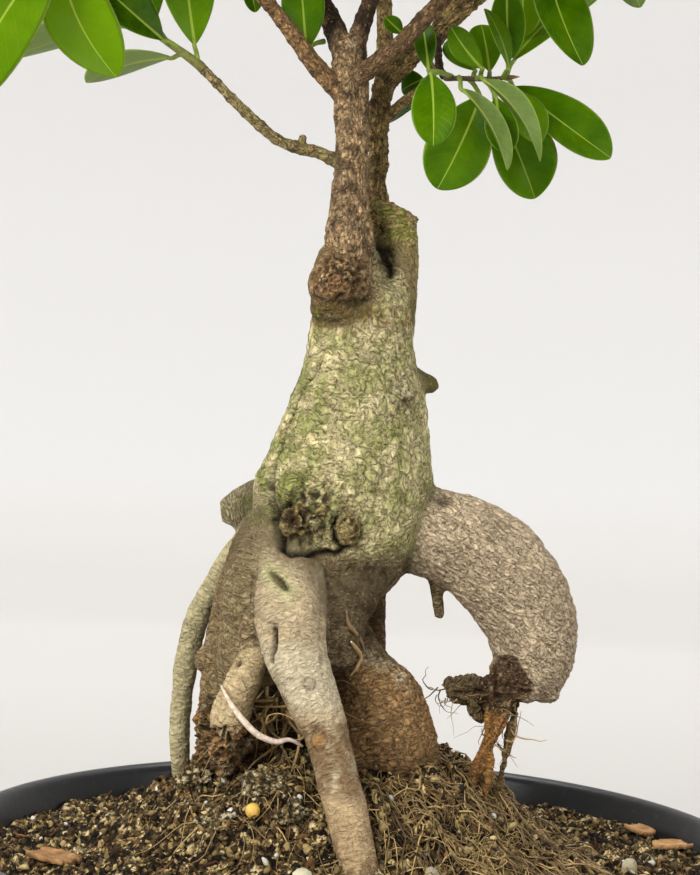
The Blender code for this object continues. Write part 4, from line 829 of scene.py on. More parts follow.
def round_shoot(branch, direction, count):
    end = Vector(branch[-1][:3])
    axis = Vector(direction).normalized()
    length = SHOOT_PER_LEAF * count
    return shoot_from(branch, [(*(end + axis * length * s), 0.0012 - 0.0004 * s)
                               for s in (0.5, 1.0)])


def round_leaves(number, shoot, count, taken):
    """Leaves round a shoot, each turned or shortened until it clears everything in taken."""
    chance = random.Random(100 + number)
    low, high = (Vector(shoot[k][:3]) for k in (1, -1))
    axis = (high - low).normalized()
    first_turn = chance.uniform(0, 2 * math.pi)
    leaves = []
    for k in range(count):
        share = (k + 0.6) / count
        foot = low.lerp(high, 0.05 + 0.9 * share)
        size = chance.uniform(0.86, 1.08)
        for attempt in range(PLACE_ATTEMPTS):
            nudge = (attempt + 1) // 2 * (-1) ** attempt * math.radians(12)
            leaf = round_leaf(foot, axis, share, first_turn + k * GOLDEN_ANGLE + nudge,
                              size * (1 - 0.012 * attempt))
            probe, points = tree_of(lambda bm: add_leaf(bm, leaf, LEAF_SPACING, 0.6))
            clear = not any(probe.overlap(other) for other in taken)
            if clear and all(p.z > crown_floor(p) for p in points):
                leaves.append(leaf)
                taken.append(probe)
                break
    return leaves


def crown():
    """All sprays as name -> (shoot, leaves). A single leaf has no shoot."""
    branches = {**STEM_FRONT, **STEM_REAR, "right_tip": STEM_REAR["main"]}
    sprays = {}
    for title, spray in PLACED_SPRAYS.items():
        shoot = shoot_from(branches[spray["branch"]], spray["shoot"])
        sprays["leaf_spray_" + title] = (shoot, spray["leaves"])
    for number, leaf in enumerate(SINGLE_LEAVES, 1):
        sprays[f"leaf_single_{number}"] = (None, [leaf])
    placed = [leaf for _, leaves in sprays.values() for leaf in leaves]
    rounds = {f"leaf_spray_{number:02d}": (round_shoot(branches[branch], direction, count), count)
              for number, (branch, direction, count) in enumerate(ROUND_SPRAYS, 1)}
    tubes = [*STEM_FRONT.values(), *STEM_REAR.values()]
    tubes += [shoot for shoot, _ in [*sprays.values(), *rounds.values()] if shoot]
    taken = [tree_of(lambda bm: add_tube(bm, points, sides=6))[0] for points in tubes]
    taken += [tree_of(lambda bm: add_leaf(bm, leaf, LEAF_SPACING, 0.5))[0] for leaf in placed]
    for number, (name, (shoot, count)) in enumerate(rounds.items(), 1):
        sprays[name] = (shoot, round_leaves(number, shoot, count, taken))
    return sprays


# Rootstock

LIMB_BARK = {
    "caudex": (199, 188, 142), "top_stub": (172, 152, 104), "graft_collar": (130, 104, 72),
    "arch_root": (193, 174, 146), "arch_root_tail": (150, 104, 56), "left_strand": (170, 124, 62),
    "right_strand": (150, 124, 84), "broken_end": (140, 122, 90), "right_lobe": (156, 122, 80),
    "rear_lobe": (104, 86, 58), "back_root": (120, 98, 68), "left_lobe": (142, 122, 86),
    "left_web": (150, 132, 96), "right_web": (128, 112, 84), "front_root": (184, 166, 134),
    "toe_root": (186, 166, 128), "prop_root": (178, 168, 130), "left_stub": (168, 154, 124),
    "loop_rootlet": (160, 124, 80), "right_stub": (140, 118, 82),
}
RINGED = {"arch_root": 1.2, "front_root": 0.30, "caudex": 0.25, "prop_root": 0.25, "toe_root": 0.3,
          "back_root": 0.3, "left_stub": 0.3}
FIBROUS = {"right_lobe": 1.0, "left_lobe": 0.6, "left_web": 0.6, "right_web": 0.5, "rear_lobe": 0.8,
           "caudex": 0.55, "top_stub": 0.7, "arch_root_tail": 1.2, "left_strand": 1.2,
           "right_strand": 1.2, "broken_end": 1.4, "front_root": 0.15, "arch_root": 0.15}
SMOOTHNESS = {"front_root": 0.65, "toe_root": 0.55, "prop_root": 0.60, "arch_root": 0.12}

# Marks on the rootstock's front, as (x, z) places that are carried back along Y to the bark
UNDER_BURL = [(-24, 182.6), (-21.2, 180.8), (-15, 180.6), (-9, 180.6), (-6.2, 182.2)]
SCAR = [(-27.2, 175.7), (-24, 173.2), (-21.2, 170.6)]
FRONT_LINES = {
    "crease": metres([(-16.4, 247), (-16.3, 232.8), (-21.1, 225), (-27.6, 204), (-28.1, 195.7)]),
    "under_graft": metres([(-17.9, 252.1), (-13.7, 250.6), (-8, 251), (-3, 252.2)]),
    "crevice": metres([(-2.2, 276), (-0.8, 271), (1.2, 266.5), (3, 261.5)]),
    "under_burl": metres(UNDER_BURL), "burl_sill": metres(UNDER_BURL),
    "beside_burl": metres([(-28.6, 199), (-26.8, 193), (-25.8, 187.5), (-23.6, 183.2)]),
    "scar_lip": metres(SCAR),
    "root_crack": metres([(-30.2, 164), (-26.2, 162.2), (-23.6, 162.2)]),
    "left_edge": metres([(-31, 173.6), (-30.8, 164.2), (-29.8, 155.1)]),
    "right_edge": metres([(-12.2, 168.4), (-12, 159.7), (-10.8, 149.2)]),
    "slit": metres([(-24.4, 160.5), (-24.3, 156), (-25, 151.7)]),
    "peel": metres([(0.5, 151.8), (5.7, 150.1), (10.9, 146.1)]),
}
LINE_WIDTHS = metres({
    "crease": 1.4, "under_graft": 2, "crevice": 3.6, "under_burl": 1.5, "burl_sill": 5,
    "beside_burl": 2.6, "scar_lip": 4.2, "root_crack": 0.7, "left_edge": 1.2, "right_edge": 1.2,
    "slit": 1.3, "peel": 5})
GROOVE_DEPTHS = metres({
    "crease": 0.8, "under_graft": 0.9, "crevice": 4, "under_burl": 2.6, "beside_burl": 2,
    "root_crack": 0.5, "left_edge": 0.5, "right_edge": 0.4, "slit": 1.8})
# How dark each groove is painted: painted shade in the groove
GROOVE_SHADE = {"crevice": 1.0, "under_burl": 0.95, "beside_burl": 0.75, "root_crack": 0.6,
                   "slit": 0.9, "crease": 0.45, "under_graft": 0.6}
# Each spot's (x, z) place and its reach
FRONT_SPOTS = metres({
    "graft": ((-10.5, 257.5), 15), "rough": ((7.8, 224.8), 9.5), "knot": ((9.3, 237.3), 3),
    "fork": ((20.6, 196.5), 4.2), "lobe_knot": ((-44.8, 147.3), 3.4), "hole": ((-34.5, 150), 1.6),
    "bump": ((-20.5, 199), 4.2), "burl": ((-15.5, 191.5), 16.5)})
# (x, z) centre, (x, z) half sizes and the direction in degrees of the gap beside each branch scar, which
# is painted dark as shade
EYES = [((-0.0207, 0.1891), (0.0041, 0.0050), 165.0), ((-0.0059, 0.1877), (0.0033, 0.0046), 215.0)]
GRAFT_RING = (-0.0121, 0.2560)
ROOT_KNOTS = [((-0.0142, 0.1471), 0.0014), ((-0.0114, 0.1323), 0.0020)]
ALGAE_STREAK = metres([(-6, -20, 250), (2, -20, 225), (6, -20, 200)])
TORN_BARK = metres([(-22.5, -32, 160), (-22.2, -34, 150), (-20.5, -36, 141)])
# The near black of painted shade, put into cracks, grooves, gaps, holes and the scar's shaded side
RECESS_SHADE = (30, 22, 14)


def carried_to(tree, places):
    """Each (x, z) place moved along +Y, from the front, to where it meets the mesh."""
    found = []
    for x, z in places:
        hit = tree.ray_cast(Vector((x, -1, z)), Vector((0, 1, 0)))[0]
        found.append(tuple(hit) if hit else (x, 0, z))
    return found


def knobbly(points, scale, seed):
    """Sharp-edged lumps: 0.5 on their ridges, falling below 0 between them."""
    return 0.5 - np.abs(field(points, scale, 3, seed)) * 1.6


def saw_off_stub(skin):
    """Cuts the top stub at a slant. Returns the share of the sawn face at every point."""
    p = skin.points
    cut = 0.2838 - 0.42 * (p[:, 0] + 0.0040) + 0.0006 * field(p, 330, 2, 61.0)
    sawn = (p[:, 2] > 0.272) * rise(p[:, 2] - cut, -0.0004, 0.0002)
    p[:, 2] = np.where(p[:, 2] > 0.272, np.minimum(p[:, 2], cut), p[:, 2])
    skin.push(np.zeros(len(p)))
    return sawn


def front_marks(p, tree, share):
    """The share of each named line and spot at every point."""
    mark = {name: near_line(p, carried_to(tree, places), LINE_WIDTHS[name])
            for name, places in FRONT_LINES.items()}
    for name, (place, reach) in FRONT_SPOTS.items():
        mark[name] = near(p, carried_to(tree, [place])[0], reach)
    arch_end = near(p, (0.0400, -0.012, 0.1448), 0.0125) + near(p, (0.0400, 0.002, 0.1400), 0.0120)
    mark["arch_end"] = rise(arch_end + 0.12 * field(p, 200, 3, 71.0), 0.30, 0.42)
    mark["broken"] = rise(share["broken_end"], 0.3, 0.8)
    return mark


def bark_grain(p, grain, share):
    """The limbs' grain, with rings that slant on the arch and long fibres on the body."""
    slanted = np.column_stack([0.85 * p[:, 0] - 0.53 * p[:, 2], p[:, 1],
                               0.53 * p[:, 0] + 0.85 * p[:, 2]])
    in_arch = rise(share["arch_root"], 0.45, 0.55)[:, None]
    off_body = 1 - share["caudex"][:, None]
    grain = grain * np.array([1, 1, 0.5]) + 0.5 * grain * np.array([0, 0, 1]) * off_body
    return np.where(in_arch > 0.5, slanted, grain)


def general_relief(p, mark, tone, ringed, fibrous):
    """Rings, fibres, grit and the lumps of each spot, in metres."""
    knobs, warts, fibres = tone["knobs"], tone["warts"], tone["fibres"]
    relief = (tone["lumps"] * 0.0005 - np.abs(tone["rings"]) * ringed * 0.00055
              - np.abs(fibres) * fibrous * 0.00060)
    relief += tone["grit"] * (0.00018 + 0.0003 * fibrous)
    relief += mark["graft"] * (warts * 0.0015 + field(p, 190, 2, 12.0) * 0.0010)
    relief += mark["rough"] * (knobbly(p, 380, 4.0) * 0.0012)
    relief += mark["burl"] * (knobs * 0.0016 + field(p, 170, 2, 16.0) * 0.0012 - 0.0004)
    relief += mark["arch_end"] * (knobbly(p, 380, 8.0) * 0.0014 - 0.0009)
    steps = np.round(field(p, 190, 2, 18.0) * 3)
    relief += mark["broken"] * (steps * 0.0006 - np.abs(fibres) * 0.0008)
    relief += 0.0011 * mark["knot"] + 0.0012 * mark["lobe_knot"] - 0.0012 * mark["fork"]
    relief += 0.0014 * mark["bump"] - 0.0022 * mark["hole"]
    for name, depth in GROOVE_DEPTHS.items():
        relief -= depth * mark[name] * rise(field(p, 260, 2, 81.0), -0.7, -0.1)
    return relief


def add_scar(p, mark, relief):
    """The long scar on the front root, a hollow with a raised lip."""
    at = p[:, [0, 2]] - np.array(FRONT_LINES["scar_lip"][1])
    along = 0.78 * at[:, 0] - 0.63 * at[:, 1]
    across = 0.63 * at[:, 0] + 0.78 * at[:, 1]
    behind = 9 * (p[:, 1] > -0.01)
    mark["scar"] = rise(np.hypot(along / 0.0040, across / 0.0011) + behind, 1.25, 0.60)
    mark["scar_shade"] = mark["scar"] * rise(across, 0.0, 0.0009)
    relief += 0.0008 * mark["scar_lip"] * rise(across, 0.0010, -0.0006) - 0.0013 * mark["scar"]


def add_eyes(p, tree, mark, tone, relief):
    """The two ringed branch scars on the burl, each with a gap on one side that paint_hollows darkens as
    painted shade.
    """
    mark["eyes"] = np.zeros(len(p))
    mark["gaps"] = np.zeros(len(p))
    for place, half_sizes, gap_turn in EYES:
        offset = (p - np.array(carried_to(tree, [place])[0]))[:, [0, 2]] / np.array(half_sizes)
        away = np.linalg.norm(offset, axis=1) * (1 + 0.14 * field(p, 260, 2, 19.0)) + 9 * (p[:, 1] > 0)
        inside = rise(away, 1.05, 0.80)
        toward = np.array([math.cos(math.radians(gap_turn)), math.sin(math.radians(gap_turn))])
        facing = (offset @ toward) / np.linalg.norm(offset, axis=1).clip(0.1)
        gap = np.exp(-((away - 1.15) / 0.17) ** 2) * (0.25 + 0.75 * rise(facing, -0.3, 0.7))
        relief += inside * (0.0008 + 0.00030 * np.cos(away * 15) + 0.0006 * (tone["knobs"] - 0.2))
        relief -= 0.0017 * gap
        mark["eyes"] = np.maximum(mark["eyes"], inside)
        mark["gaps"] = np.maximum(mark["gaps"], gap)


def add_knots(p, tree, mark, relief):
    """The ringed knot on the graft and the two small ones on the front root."""
    away = np.linalg.norm(p - np.array(carried_to(tree, [GRAFT_RING])[0]), axis=1)
    mark["graft_ring"] = rise(away, 0.0030, 0.0024)
    relief += mark["graft_ring"] * (0.0004 + 0.0004 * np.cos(away * 2 * math.pi / 0.0011))
    for place, radius in ROOT_KNOTS:
        centre = carried_to(tree, [place])[0]
        groove = np.exp(-((np.linalg.norm(p - np.array(centre), axis=1) - radius * 1.2) / 0.0004) ** 2)
        relief += 0.0007 * near(p, centre, radius) - 0.0005 * groove
    mark["root_knot"] = near(p, centre, 0.003)


def add_crust(p, share, mark, tone, relief):
    """The crust at the foot of the left roots."""
    left = share["left_lobe"] + share["left_web"]
    crust = rise(p[:, 2] + 0.003 * tone["lumps"], 0.1400, 0.1340) * left
    crust += rise(p[:, 2], 0.1340, 0.1310) * share["toe_root"]
    relief += crust * (knobbly(p, 330, 26.0) * 0.0034 + field(p, 150, 2, 28.0) * 0.0016 - 0.0006)
    mark["crust"] = crust


def paint_body(skin, p, share, mark, tone):
    """Green algae, pale flakes and the web between the lobes."""
    x, y, z = p.T
    off_arch = rise(share["arch_root"], 0.9, 0.1)
    algae_noise = rise(field(p, 150, 4, 21.0), -0.35, 0.35)
    algae = rise(z + 0.35 * (x + 0.012), 0.174, 0.192) * rise(z, 0.262, 0.246) * algae_noise * off_arch
    side = 0.60 + 0.40 * rise(x, -0.004, -0.022) + 0.35 * near_line(p, ALGAE_STREAK, 0.009)
    skin.tint((116, 130, 42), 0.74 * algae * side)
    flaked = rise(field(p, 620, 2, 31.0), 0.12, 0.42) * share["caudex"]
    skin.tint((202, 192, 156), 0.30 * flaked)
    web = rise(z, 0.1830, 0.1770) * rise(z, 0.1480, 0.1540) * rise(x, -0.0150, -0.0120)
    web = web * rise(share["front_root"], 0.6, 0.2)
    web *= rise(share["arch_root"], 0.7, 0.2) * (y < 0.004)
    skin.tint((126, 110, 82), 0.85 * web)
    skin.tint((86, 70, 46), 0.70 * web * rise(field(p, 330, 3, 93.0), 0.0, 0.3))


def paint_graft(skin, p, share, mark, tone):
    """The mossy stub with its sawn face, and the warty ring where the stems are grafted on."""
    x, y, z = p.T
    warts = tone["warts"]
    moss = rise(z, 0.262, 0.274) * share["top_stub"] * rise(field(p, 240, 3, 5.0), -0.3, 0.3)
    skin.tint((138, 142, 56), 0.75 * moss)
    skin.tint((92, 66, 44), 0.6 * mark["sawn"] * rise(field(p, 420, 2, 15.0), -0.2, 0.2))
    patches = field(p, 420, 3, 41.0)
    graft = mark["graft"] * rise(z, 0.2480, 0.2530) * rise(x, 0.0045, -0.0005)
    skin.tint((172, 138, 94), (1.3 * graft).clip(0, 0.95))
    # Dark between the warts is painted shade in their dips, and the pale on their tops a painted
    # highlight
    skin.tint((48, 34, 22), graft * rise(warts, 0.34, 0.14) * 0.92)
    skin.tint((222, 196, 158), graft * rise(warts, 0.34, 0.46) * rise(patches, -0.2, 0.2) * 0.85)
    skin.tint((160, 120, 82), 0.8 * mark["graft_ring"])
    below = rise(z, 0.2420, 0.2465) * rise(z, 0.2520, 0.2490) * rise(patches, -0.3, 0.2) * (y < 0)
    skin.tint((126, 96, 44), 0.6 * below)


def paint_burl(skin, p, share, mark, tone):
    """The burl above the front root with its branch scars, and the rough patch beside it."""
    knobs, grit, burl = tone["knobs"], tone["grit"], mark["burl"]
    patches = field(p, 260, 3, 51.0)
    skin.tint((134, 112, 60), 0.75 * burl * rise(patches, -0.1, 0.3))
    skin.tint((100, 112, 36), 0.65 * burl * rise(patches, 0.0, -0.4))
    # Dark in the dips between the knobs: painted shade
    skin.tint((44, 34, 18), 0.85 * burl * rise(knobs, 0.22, -0.05))
    skin.tint((146, 118, 66), 0.55 * mark["eyes"])
    # Dark in the dips between the scars' knobs: painted shade
    skin.tint((66, 52, 26), 0.75 * mark["eyes"] * rise(knobs, 0.30, 0.05))
    rusty = mark["burl_sill"] * rise(p[:, 2], 0.1812, 0.1796)
    skin.tint((112, 76, 38), 0.75 * rusty * rise(grit, -0.3, 0.2))
    skin.tint((84, 66, 40), 0.85 * mark["rough"] * rise(grit, 0.0, 0.3))
    skin.tint((200, 192, 164), 0.7 * mark["rough"] * rise(-grit, 0.0, 0.3))


def paint_roots(skin, p, share, mark, tone):
    """Bands on the front root, its torn bark, and the broken end of the arch root."""
    z, grit = p[:, 2], tone["grit"]
    front = share["front_root"] * rise(p[:, 1], -0.018, -0.026)
    band = rise(z, 0.1385, 0.1355) * rise(z, 0.1165, 0.1200)
    skin.tint((120, 92, 58), 0.8 * band * front * rise(tone["blotches"], -0.6, 0.0))
    skin.tint((192, 162, 118), 0.6 * rise(z, 0.1200, 0.1165) * front)
    skin.tint((206, 196, 168), 0.65 * front * rise(z, 0.139, 0.142) * rise(z, 0.160, 0.152))
    skin.tint((186, 186, 134), 0.75 * mark["scar_lip"])
    skin.tint((106, 74, 50), 0.9 * near_line(p, TORN_BARK, 0.0038) * rise(grit, -0.5, 0.1))
    skin.tint((196, 182, 152), 0.75 * mark["peel"] * rise(grit, -0.6, 0.0))
    skin.tint((84, 60, 38), 0.92 * mark["arch_end"])
    skin.tint((176, 150, 112), 0.8 * mark["arch_end"] * rise(field(p, 520, 2, 37.0), 0.30, 0.45))
    skin.tint((78, 62, 42), mark["broken"] * 0.5 * rise(np.abs(tone["fibres"]), 0.02, 0.14))
    skin.tint((186, 132, 60), 0.5 * mark["root_knot"])


def paint_foot(skin, p, share, mark, tone):
    """The crust on the left roots, and potting mix clinging to whatever stands in it."""
    crust = mark["crust"]
    skin.tint((170, 124, 70), 0.80 * crust * rise(tone["blotches"], -0.4, 0.1))
    skin.tint((78, 56, 32), 0.85 * crust * rise(field(p, 330, 3, 33.0), 0.0, 0.25))
    skin.tint((176, 164, 134), 0.6 * crust * rise(field(p, 330, 2, 35.0), 0.2, 0.4))
    above_mix = p[:, 2] - np.array([soil_height(a, b) for a, b in p[:, :2]])
    soiled = rise(above_mix, 0.010, 0.000)
    skin.tint((92, 68, 42), 0.8 * soiled * rise(tone["patches"] + tone["grit"], -0.6, 0.3))


def paint_hollows(skin, p, share, mark, tone):
    """Painted shade in the hollows, cracks and holes, and the scar's own colour."""
    # Painted shade: darker the deeper a point lies below those around it
    fine = rise(skin.hollowness(2), 0.00002, 0.00016)
    broad = rise(skin.hollowness(30), 0.00030, 0.0016)
    skin.tint((48, 36, 22), (0.55 * fine + 0.60 * broad).clip(0, 0.88))
    for name, dark in GROOVE_SHADE.items():
        skin.tint(RECESS_SHADE, dark * mark[name])
    skin.tint((78, 68, 30), 0.85 * mark["scar"])
    skin.tint(RECESS_SHADE, 0.8 * mark["scar_shade"])
    # Painted shade in the gaps beside the branch scars, in the hole and in the fork
    deep = 0.85 * mark["gaps"] + 0.95 * mark["hole"] + 0.8 * mark["fork"]
    skin.tint(RECESS_SHADE, deep.clip(0, 0.9))


def make_rootstock(bark):
    voxel = 0.00066
    trunk = fused("rootstock", ROOTSTOCK.values(), BURLS + FINE_KNOTS, voxel, smoothing=5, sides=24)
    skin = Skin(trunk)
    sawn = saw_off_stub(skin)
    tree = BVHTree.FromObject(trunk, bpy.context.evaluated_depsgraph_get())
    shares, grain = along_limbs(skin.points, ROOTSTOCK.values(), 0.0010)
    share = dict(zip(ROOTSTOCK, shares))
    p = skin.points.copy()
    mark = {**front_marks(p, tree, share), "sawn": sawn}
    grain = bark_grain(p, grain, share)
    tone = {"rings": field(grain * np.array([150, 150, 760]), 1.0, 3),
            "fibres": field(grain * np.array([520, 520, 130]), 1.0, 3, 3.0),
            "lumps": field(p, 80, 3), "grit": field(p, 420, 3, 7.0),
            "knobs": knobbly(p, 300, 6.0), "warts": knobbly(p, 430, 2.0),
            "patches": field(p, 70, 4, 11.0), "blotches": field(p, 210, 3, 91.0)}
    ringed, fibrous, smooth = (sum(share[name] * amount for name, amount in table.items())
                               for table in (RINGED, FIBROUS, SMOOTHNESS))
    relief = general_relief(p, mark, tone, ringed, fibrous)
    add_scar(p, mark, relief)
    add_eyes(p, tree, mark, tone, relief)
    add_knots(p, tree, mark, relief)
    add_crust(p, share, mark, tone, relief)
    skin.push(relief)
    skin.colours = limb_colours(share, LIMB_BARK)
    skin.colours *= (1 + 0.22 * tone["patches"] + 0.16 * tone["blotches"] + 0.12 * tone["grit"])[:, None]
    for paint in (paint_body, paint_graft, paint_burl, paint_roots, paint_foot, paint_hollows):
        paint(skin, p, share, mark, tone)
    skin.paint()
    skin.store("grain", grain)
    skin.store("coarse", (1 - smooth).clip(mark["crust"].clip(0, 1)))
    trunk.data.materials.append(bark)
    put(trunk, "root_bark", "trunk")
    return tree


# Grafted stems

# Bark colour of each branch. The dark centre and centre_left colours are partly painted shadow.
BRANCH_BARK = {
    "stem_front": (180, 152, 112), "up_left": (158, 124, 82), "up_left_front": (142, 114, 78),
    "low_left": (160, 148, 96), "low_left_spur": (160, 148, 96), "centre": (72, 54, 38),
    "centre_left": (68, 52, 36), "front_right": (122, 96, 64), "stem_rear": (182, 156, 98),
    "drooping_twig": (80, 60, 44),
}
NODE_SPACING = 0.0056
NODE_WIDTH = 0.0007
CUT_TWIG = (-0.0102, -0.0125, 0.3245)


def make_stem(name, branches, bark):
    voxel = 0.00045
    stem = fused(name + "_bark", branches.values(), [], voxel, smoothing=2, sides=14)
    skin = Skin(stem)
    p = skin.points.copy()
    shares, grain = along_limbs(p, branches.values(), 0.0006)
    share = dict(zip(branches, shares))
    thick = rise(share["main"], 0.3, 0.9)
    rings = field(grain * np.array([70, 70, 700]), 1.0, 3)
    grit = field(p, 700, 3, 7.0)
    streaks = field(grain * np.array([650, 650, 120]), 1.0, 3, 5.0)
    from_node = np.abs((grain[:, 2] / NODE_SPACING) % 1 - 0.5) * NODE_SPACING
    nodes = np.exp(-(from_node / NODE_WIDTH) ** 2)
    rugged = 1.7 if name == "stem_rear" else 1.0
    amount = rings * (0.00012 + 0.00006 * thick) + grit * (0.00008 + 0.00018 * thick) * rugged
    amount -= np.abs(streaks) * (0.00008 + 0.00030 * thick) * rugged
    amount += nodes * (1 - thick) * 0.00022 + field(p, 120, 3) * 0.0005 * thick * rugged
    amount += knobbly(p, 330, 27.0) * 0.00045 * thick * rise(p[:, 2], 0.285, 0.268)
    skin.push(amount)
    default = BRANCH_BARK[name]
    skin.colours = limb_colours(share, {b: BRANCH_BARK.get(b, default) for b in branches})
    skin.colours *= (1 + 0.50 * field(p, 130, 3, 13.0) + 0.25 * field(p, 420, 2, 14.0))[:, None]
    skin.tint((190, 152, 106), 0.60 * rise(field(p, 560, 2, 17.0), 0.25, 0.45))
    skin.tint((70, 52, 34), 0.65 * thick * rise(field(p, 260, 3, 23.0), 0.0, 0.30))
    skin.tint((70, 50, 32), 0.45 * nodes * (1 - thick))
    # Painted shade in the hollows, such as the forks of the branches
    skin.tint((38, 28, 19), 0.55 * rise(skin.hollowness(2), 0.00001, 0.00009))
    skin.tint((120, 96, 68), 0.5 * rise(p[:, 2], 0.268, 0.258))
    skin.tint((206, 190, 156), 0.85 * near(p, CUT_TWIG, 0.0024))
    skin.paint()
    skin.store("grain", grain)
    stem.data.materials.append(bark)
    return put(stem, "stem_bark", name)


# Fine leaves

def blade_share(t, tip_power):
    """Half width at the share t of the blade's length, beside its widest: broadest past the middle."""
    base_power = 0.86
    widest = base_power / (base_power + tip_power)
    most = widest ** base_power * (1 - widest) ** tip_power
    return t ** base_power * (1 - t) ** tip_power / most


def add_fine_leaf(bm, leaf, rows, columns, tone, shape, chance):
    """A leaf as a closed shell: glossy side and underside with its raised midrib. Returns the path of its
    petiole.
    """
    foot, base, tip, width = Vector(leaf[0]), Vector(leaf[1]), Vector(leaf[2]), leaf[3]
    along, up, side = leaf_axes(leaf)
    length = (tip - base).length
    tip_power = chance.uniform(0.54, 0.76)
    fold, bow = shape or (chance.uniform(0.10, 0.32), chance.uniform(-0.05, 0.05))
    waves = chance.uniform(0.02, 0.06)
    phase = chance.uniform(0, 2 * math.pi)
    twist = chance.uniform(-0.10, 0.10)
    blade, rib = bm.verts.layers.float_vector["blade"], bm.verts.layers.float["rib"]

    def surface(t, v, lower):
        half = 0.5 * width * blade_share(t, tip_power)
        arch = 0.24 * length * t * (1 - t)
        from_rib = abs(half * v)
        height = arch + fold * half * abs(v) ** 1.35
        height += waves * half * math.sin(5.5 * t + phase) * v * abs(v) + twist * half * v * t
        shell = 0.00022 * math.sqrt(max(0.0, 1 - v * v))
        ridge = math.exp(-(from_rib / 0.00045) ** 2) * (1 - 0.8 * t)
        if lower:
            height -= shell + 0.00042 * ridge
        else:
            height += shell - 0.00014 * ridge
        sideways = half * v + 4 * bow * length * t * (1 - t)
        vertex = bm.verts.new(base + along * (length * t) + side * sideways + up * height)
        vertex[blade] = (t, v, tone)
        vertex[rib] = from_rib * 1000
        return vertex

    levels = [0.5 - 0.5 * math.cos(math.pi * (r + 0.35) / (rows + 0.35)) for r in range(rows)]
    spread = [math.copysign(abs(u) ** 1.4, u) for u in np.linspace(-1, 1, columns + 1)]
    poles = [surface(t, 0.0, False) for t in (0.0, 1.0)]
    upper = [[surface(t, v, False) for v in spread] for t in levels]
    lower = [[row[0], *(surface(t, v, True) for v in spread[1:-1]), row[-1]]
             for t, row in zip(levels, upper)]
    for finish, grid in ((0, upper), (1, lower)):
        for near_row, far_row in zip(grid, grid[1:]):
            for k in range(columns):
                face = bm.faces.new((near_row[k], near_row[k + 1], far_row[k + 1], far_row[k]))
                face.material_index = finish
        for pole, row in ((poles[0], grid[0]), (poles[1], grid[-1])):
            for k in range(columns):
                bm.faces.new((pole, row[k], row[k + 1])).material_index = finish
    reach = [0.0, 0.05, 0.12]
    stalk = [(*foot, PETIOLE_RADIUS * 1.05)]
    middle = foot.lerp(base, 0.5) + Vector((0, 0, 0.0006))
    stalk.append((*middle, PETIOLE_RADIUS * 0.85))
    for t, radius in zip(reach, (0.80, 0.62, 0.30)):
        place = base + along * (length * t) + up * (0.24 * length * t * (1 - t) - 0.0003)
        place += side * (4 * bow * length * t * (1 - t))
        stalk.append((*place, PETIOLE_RADIUS * radius))
    return stalk


def add_painted_tube(bm, path, sides, steps, start, end, finish=2):
    """A tube whose colour runs from start to end."""
    paint = bm.verts.layers.float_color["paint"]
    count = len(bm.faces)
    rings = add_tube(bm, path, sides=sides, steps=steps, rounded=True)
    for number, ring in enumerate(rings):
        share = number / (len(rings) - 1)
        colour = [a + (b - a) * share for a, b in zip(start, end)]
        for vertex in ring:
            vertex[paint] = (*colour, 1.0)
    bm.faces.ensure_lookup_table()
    for face in bm.faces[count:]:
        face.material_index = finish
        for vertex in face.verts:
            if vertex[paint][3] == 0:
                vertex[paint] = (*end, 1.0)


def add_shoot(bm, shoot, brown, shoot_end):
    """A shoot that starts inside its branch and ends in a pointed bud."""
    first, second, before, tip = (Vector(shoot[k][:3]) for k in (0, 1, -2, -1))
    back = first - (second - first).normalized() * 0.0015
    add_painted_tube(bm, [(*back, shoot[0][3] * 0.9), *shoot], 10, 4, brown, shoot_end)
    ahead = (tip - before).normalized()
    bud = [(*(tip + ahead * reach), radius) for reach, radius in BUD]
    add_painted_tube(bm, bud, 8, 3, shoot_end, rgb(150, 120, 60))


def make_fine_spray(number, name, shoot, leaves, finishes):
    chance = random.Random(500 + number)
    close_up = not name[-1].isdigit() or "single" in name
    rows, columns = (26, 18) if close_up else (14, 10)
    bm = bmesh.new()
    bm.verts.layers.float_vector.new("blade")
    bm.verts.layers.float.new("rib")
    bm.verts.layers.float_color.new("paint")
    green = rgb(112, 134, 42)
    brown, shoot_end, thickness = rgb(104, 82, 48), rgb(112, 124, 52), 1.0
    if name in DARK_SHOOTS:
        brown, shoot_end, thickness = rgb(62, 44, 32), rgb(80, 64, 40), 0.62
    for k, leaf in enumerate(leaves):
        age = k / max(1, len(leaves) - 1)
        usual_tone = chance.uniform(0.15, 0.75) * 0.8 + 0.25 * age
        tone = min(1.0, LEAF_TONES.get(name, {}).get(k, usual_tone))
        shape = LEAF_SHAPES.get(name, {}).get(k)
        stalk = add_fine_leaf(bm, leaf, rows, columns, tone, shape, chance)
        add_painted_tube(bm, stalk, 8, 3, green, rgb(136, 156, 56))
    if shoot:
        add_shoot(bm, [(*p[:3], p[3] * thickness) for p in shoot], brown, shoot_end)
    made = new_object(name + "_fine", bm, finishes)
    return put(made, "leaf", name)


# (distance past the shoot's tip, radius) along a bud
BUD = ((-0.0006, 0.0005), (0.0010, 0.0007), (0.0026, 0.0004), (0.0036, 0.0001))
DARK_SHOOTS = {"leaf_spray_right_drooping", "leaf_spray_hanging", "leaf_spray_right_upper"}
# Tone of single leaves in a spray, from 0 for the darkest green to 1 for the palest. The darkest are
# partly painted shade and the palest partly painted light, as each leaf stood in the light.
LEAF_TONES = {
    "leaf_spray_low_left": {0: 0.62, 1: 0.05},
    "leaf_spray_left": {0: 0.85, 1: 0.70},
    "leaf_spray_right_drooping": {0: 0.10, 1: 0.45, 2: 0.42, 4: 0.55, 6: 0.60, 7: 0.50},
    "leaf_spray_right_upper": {0: 0.30},
}
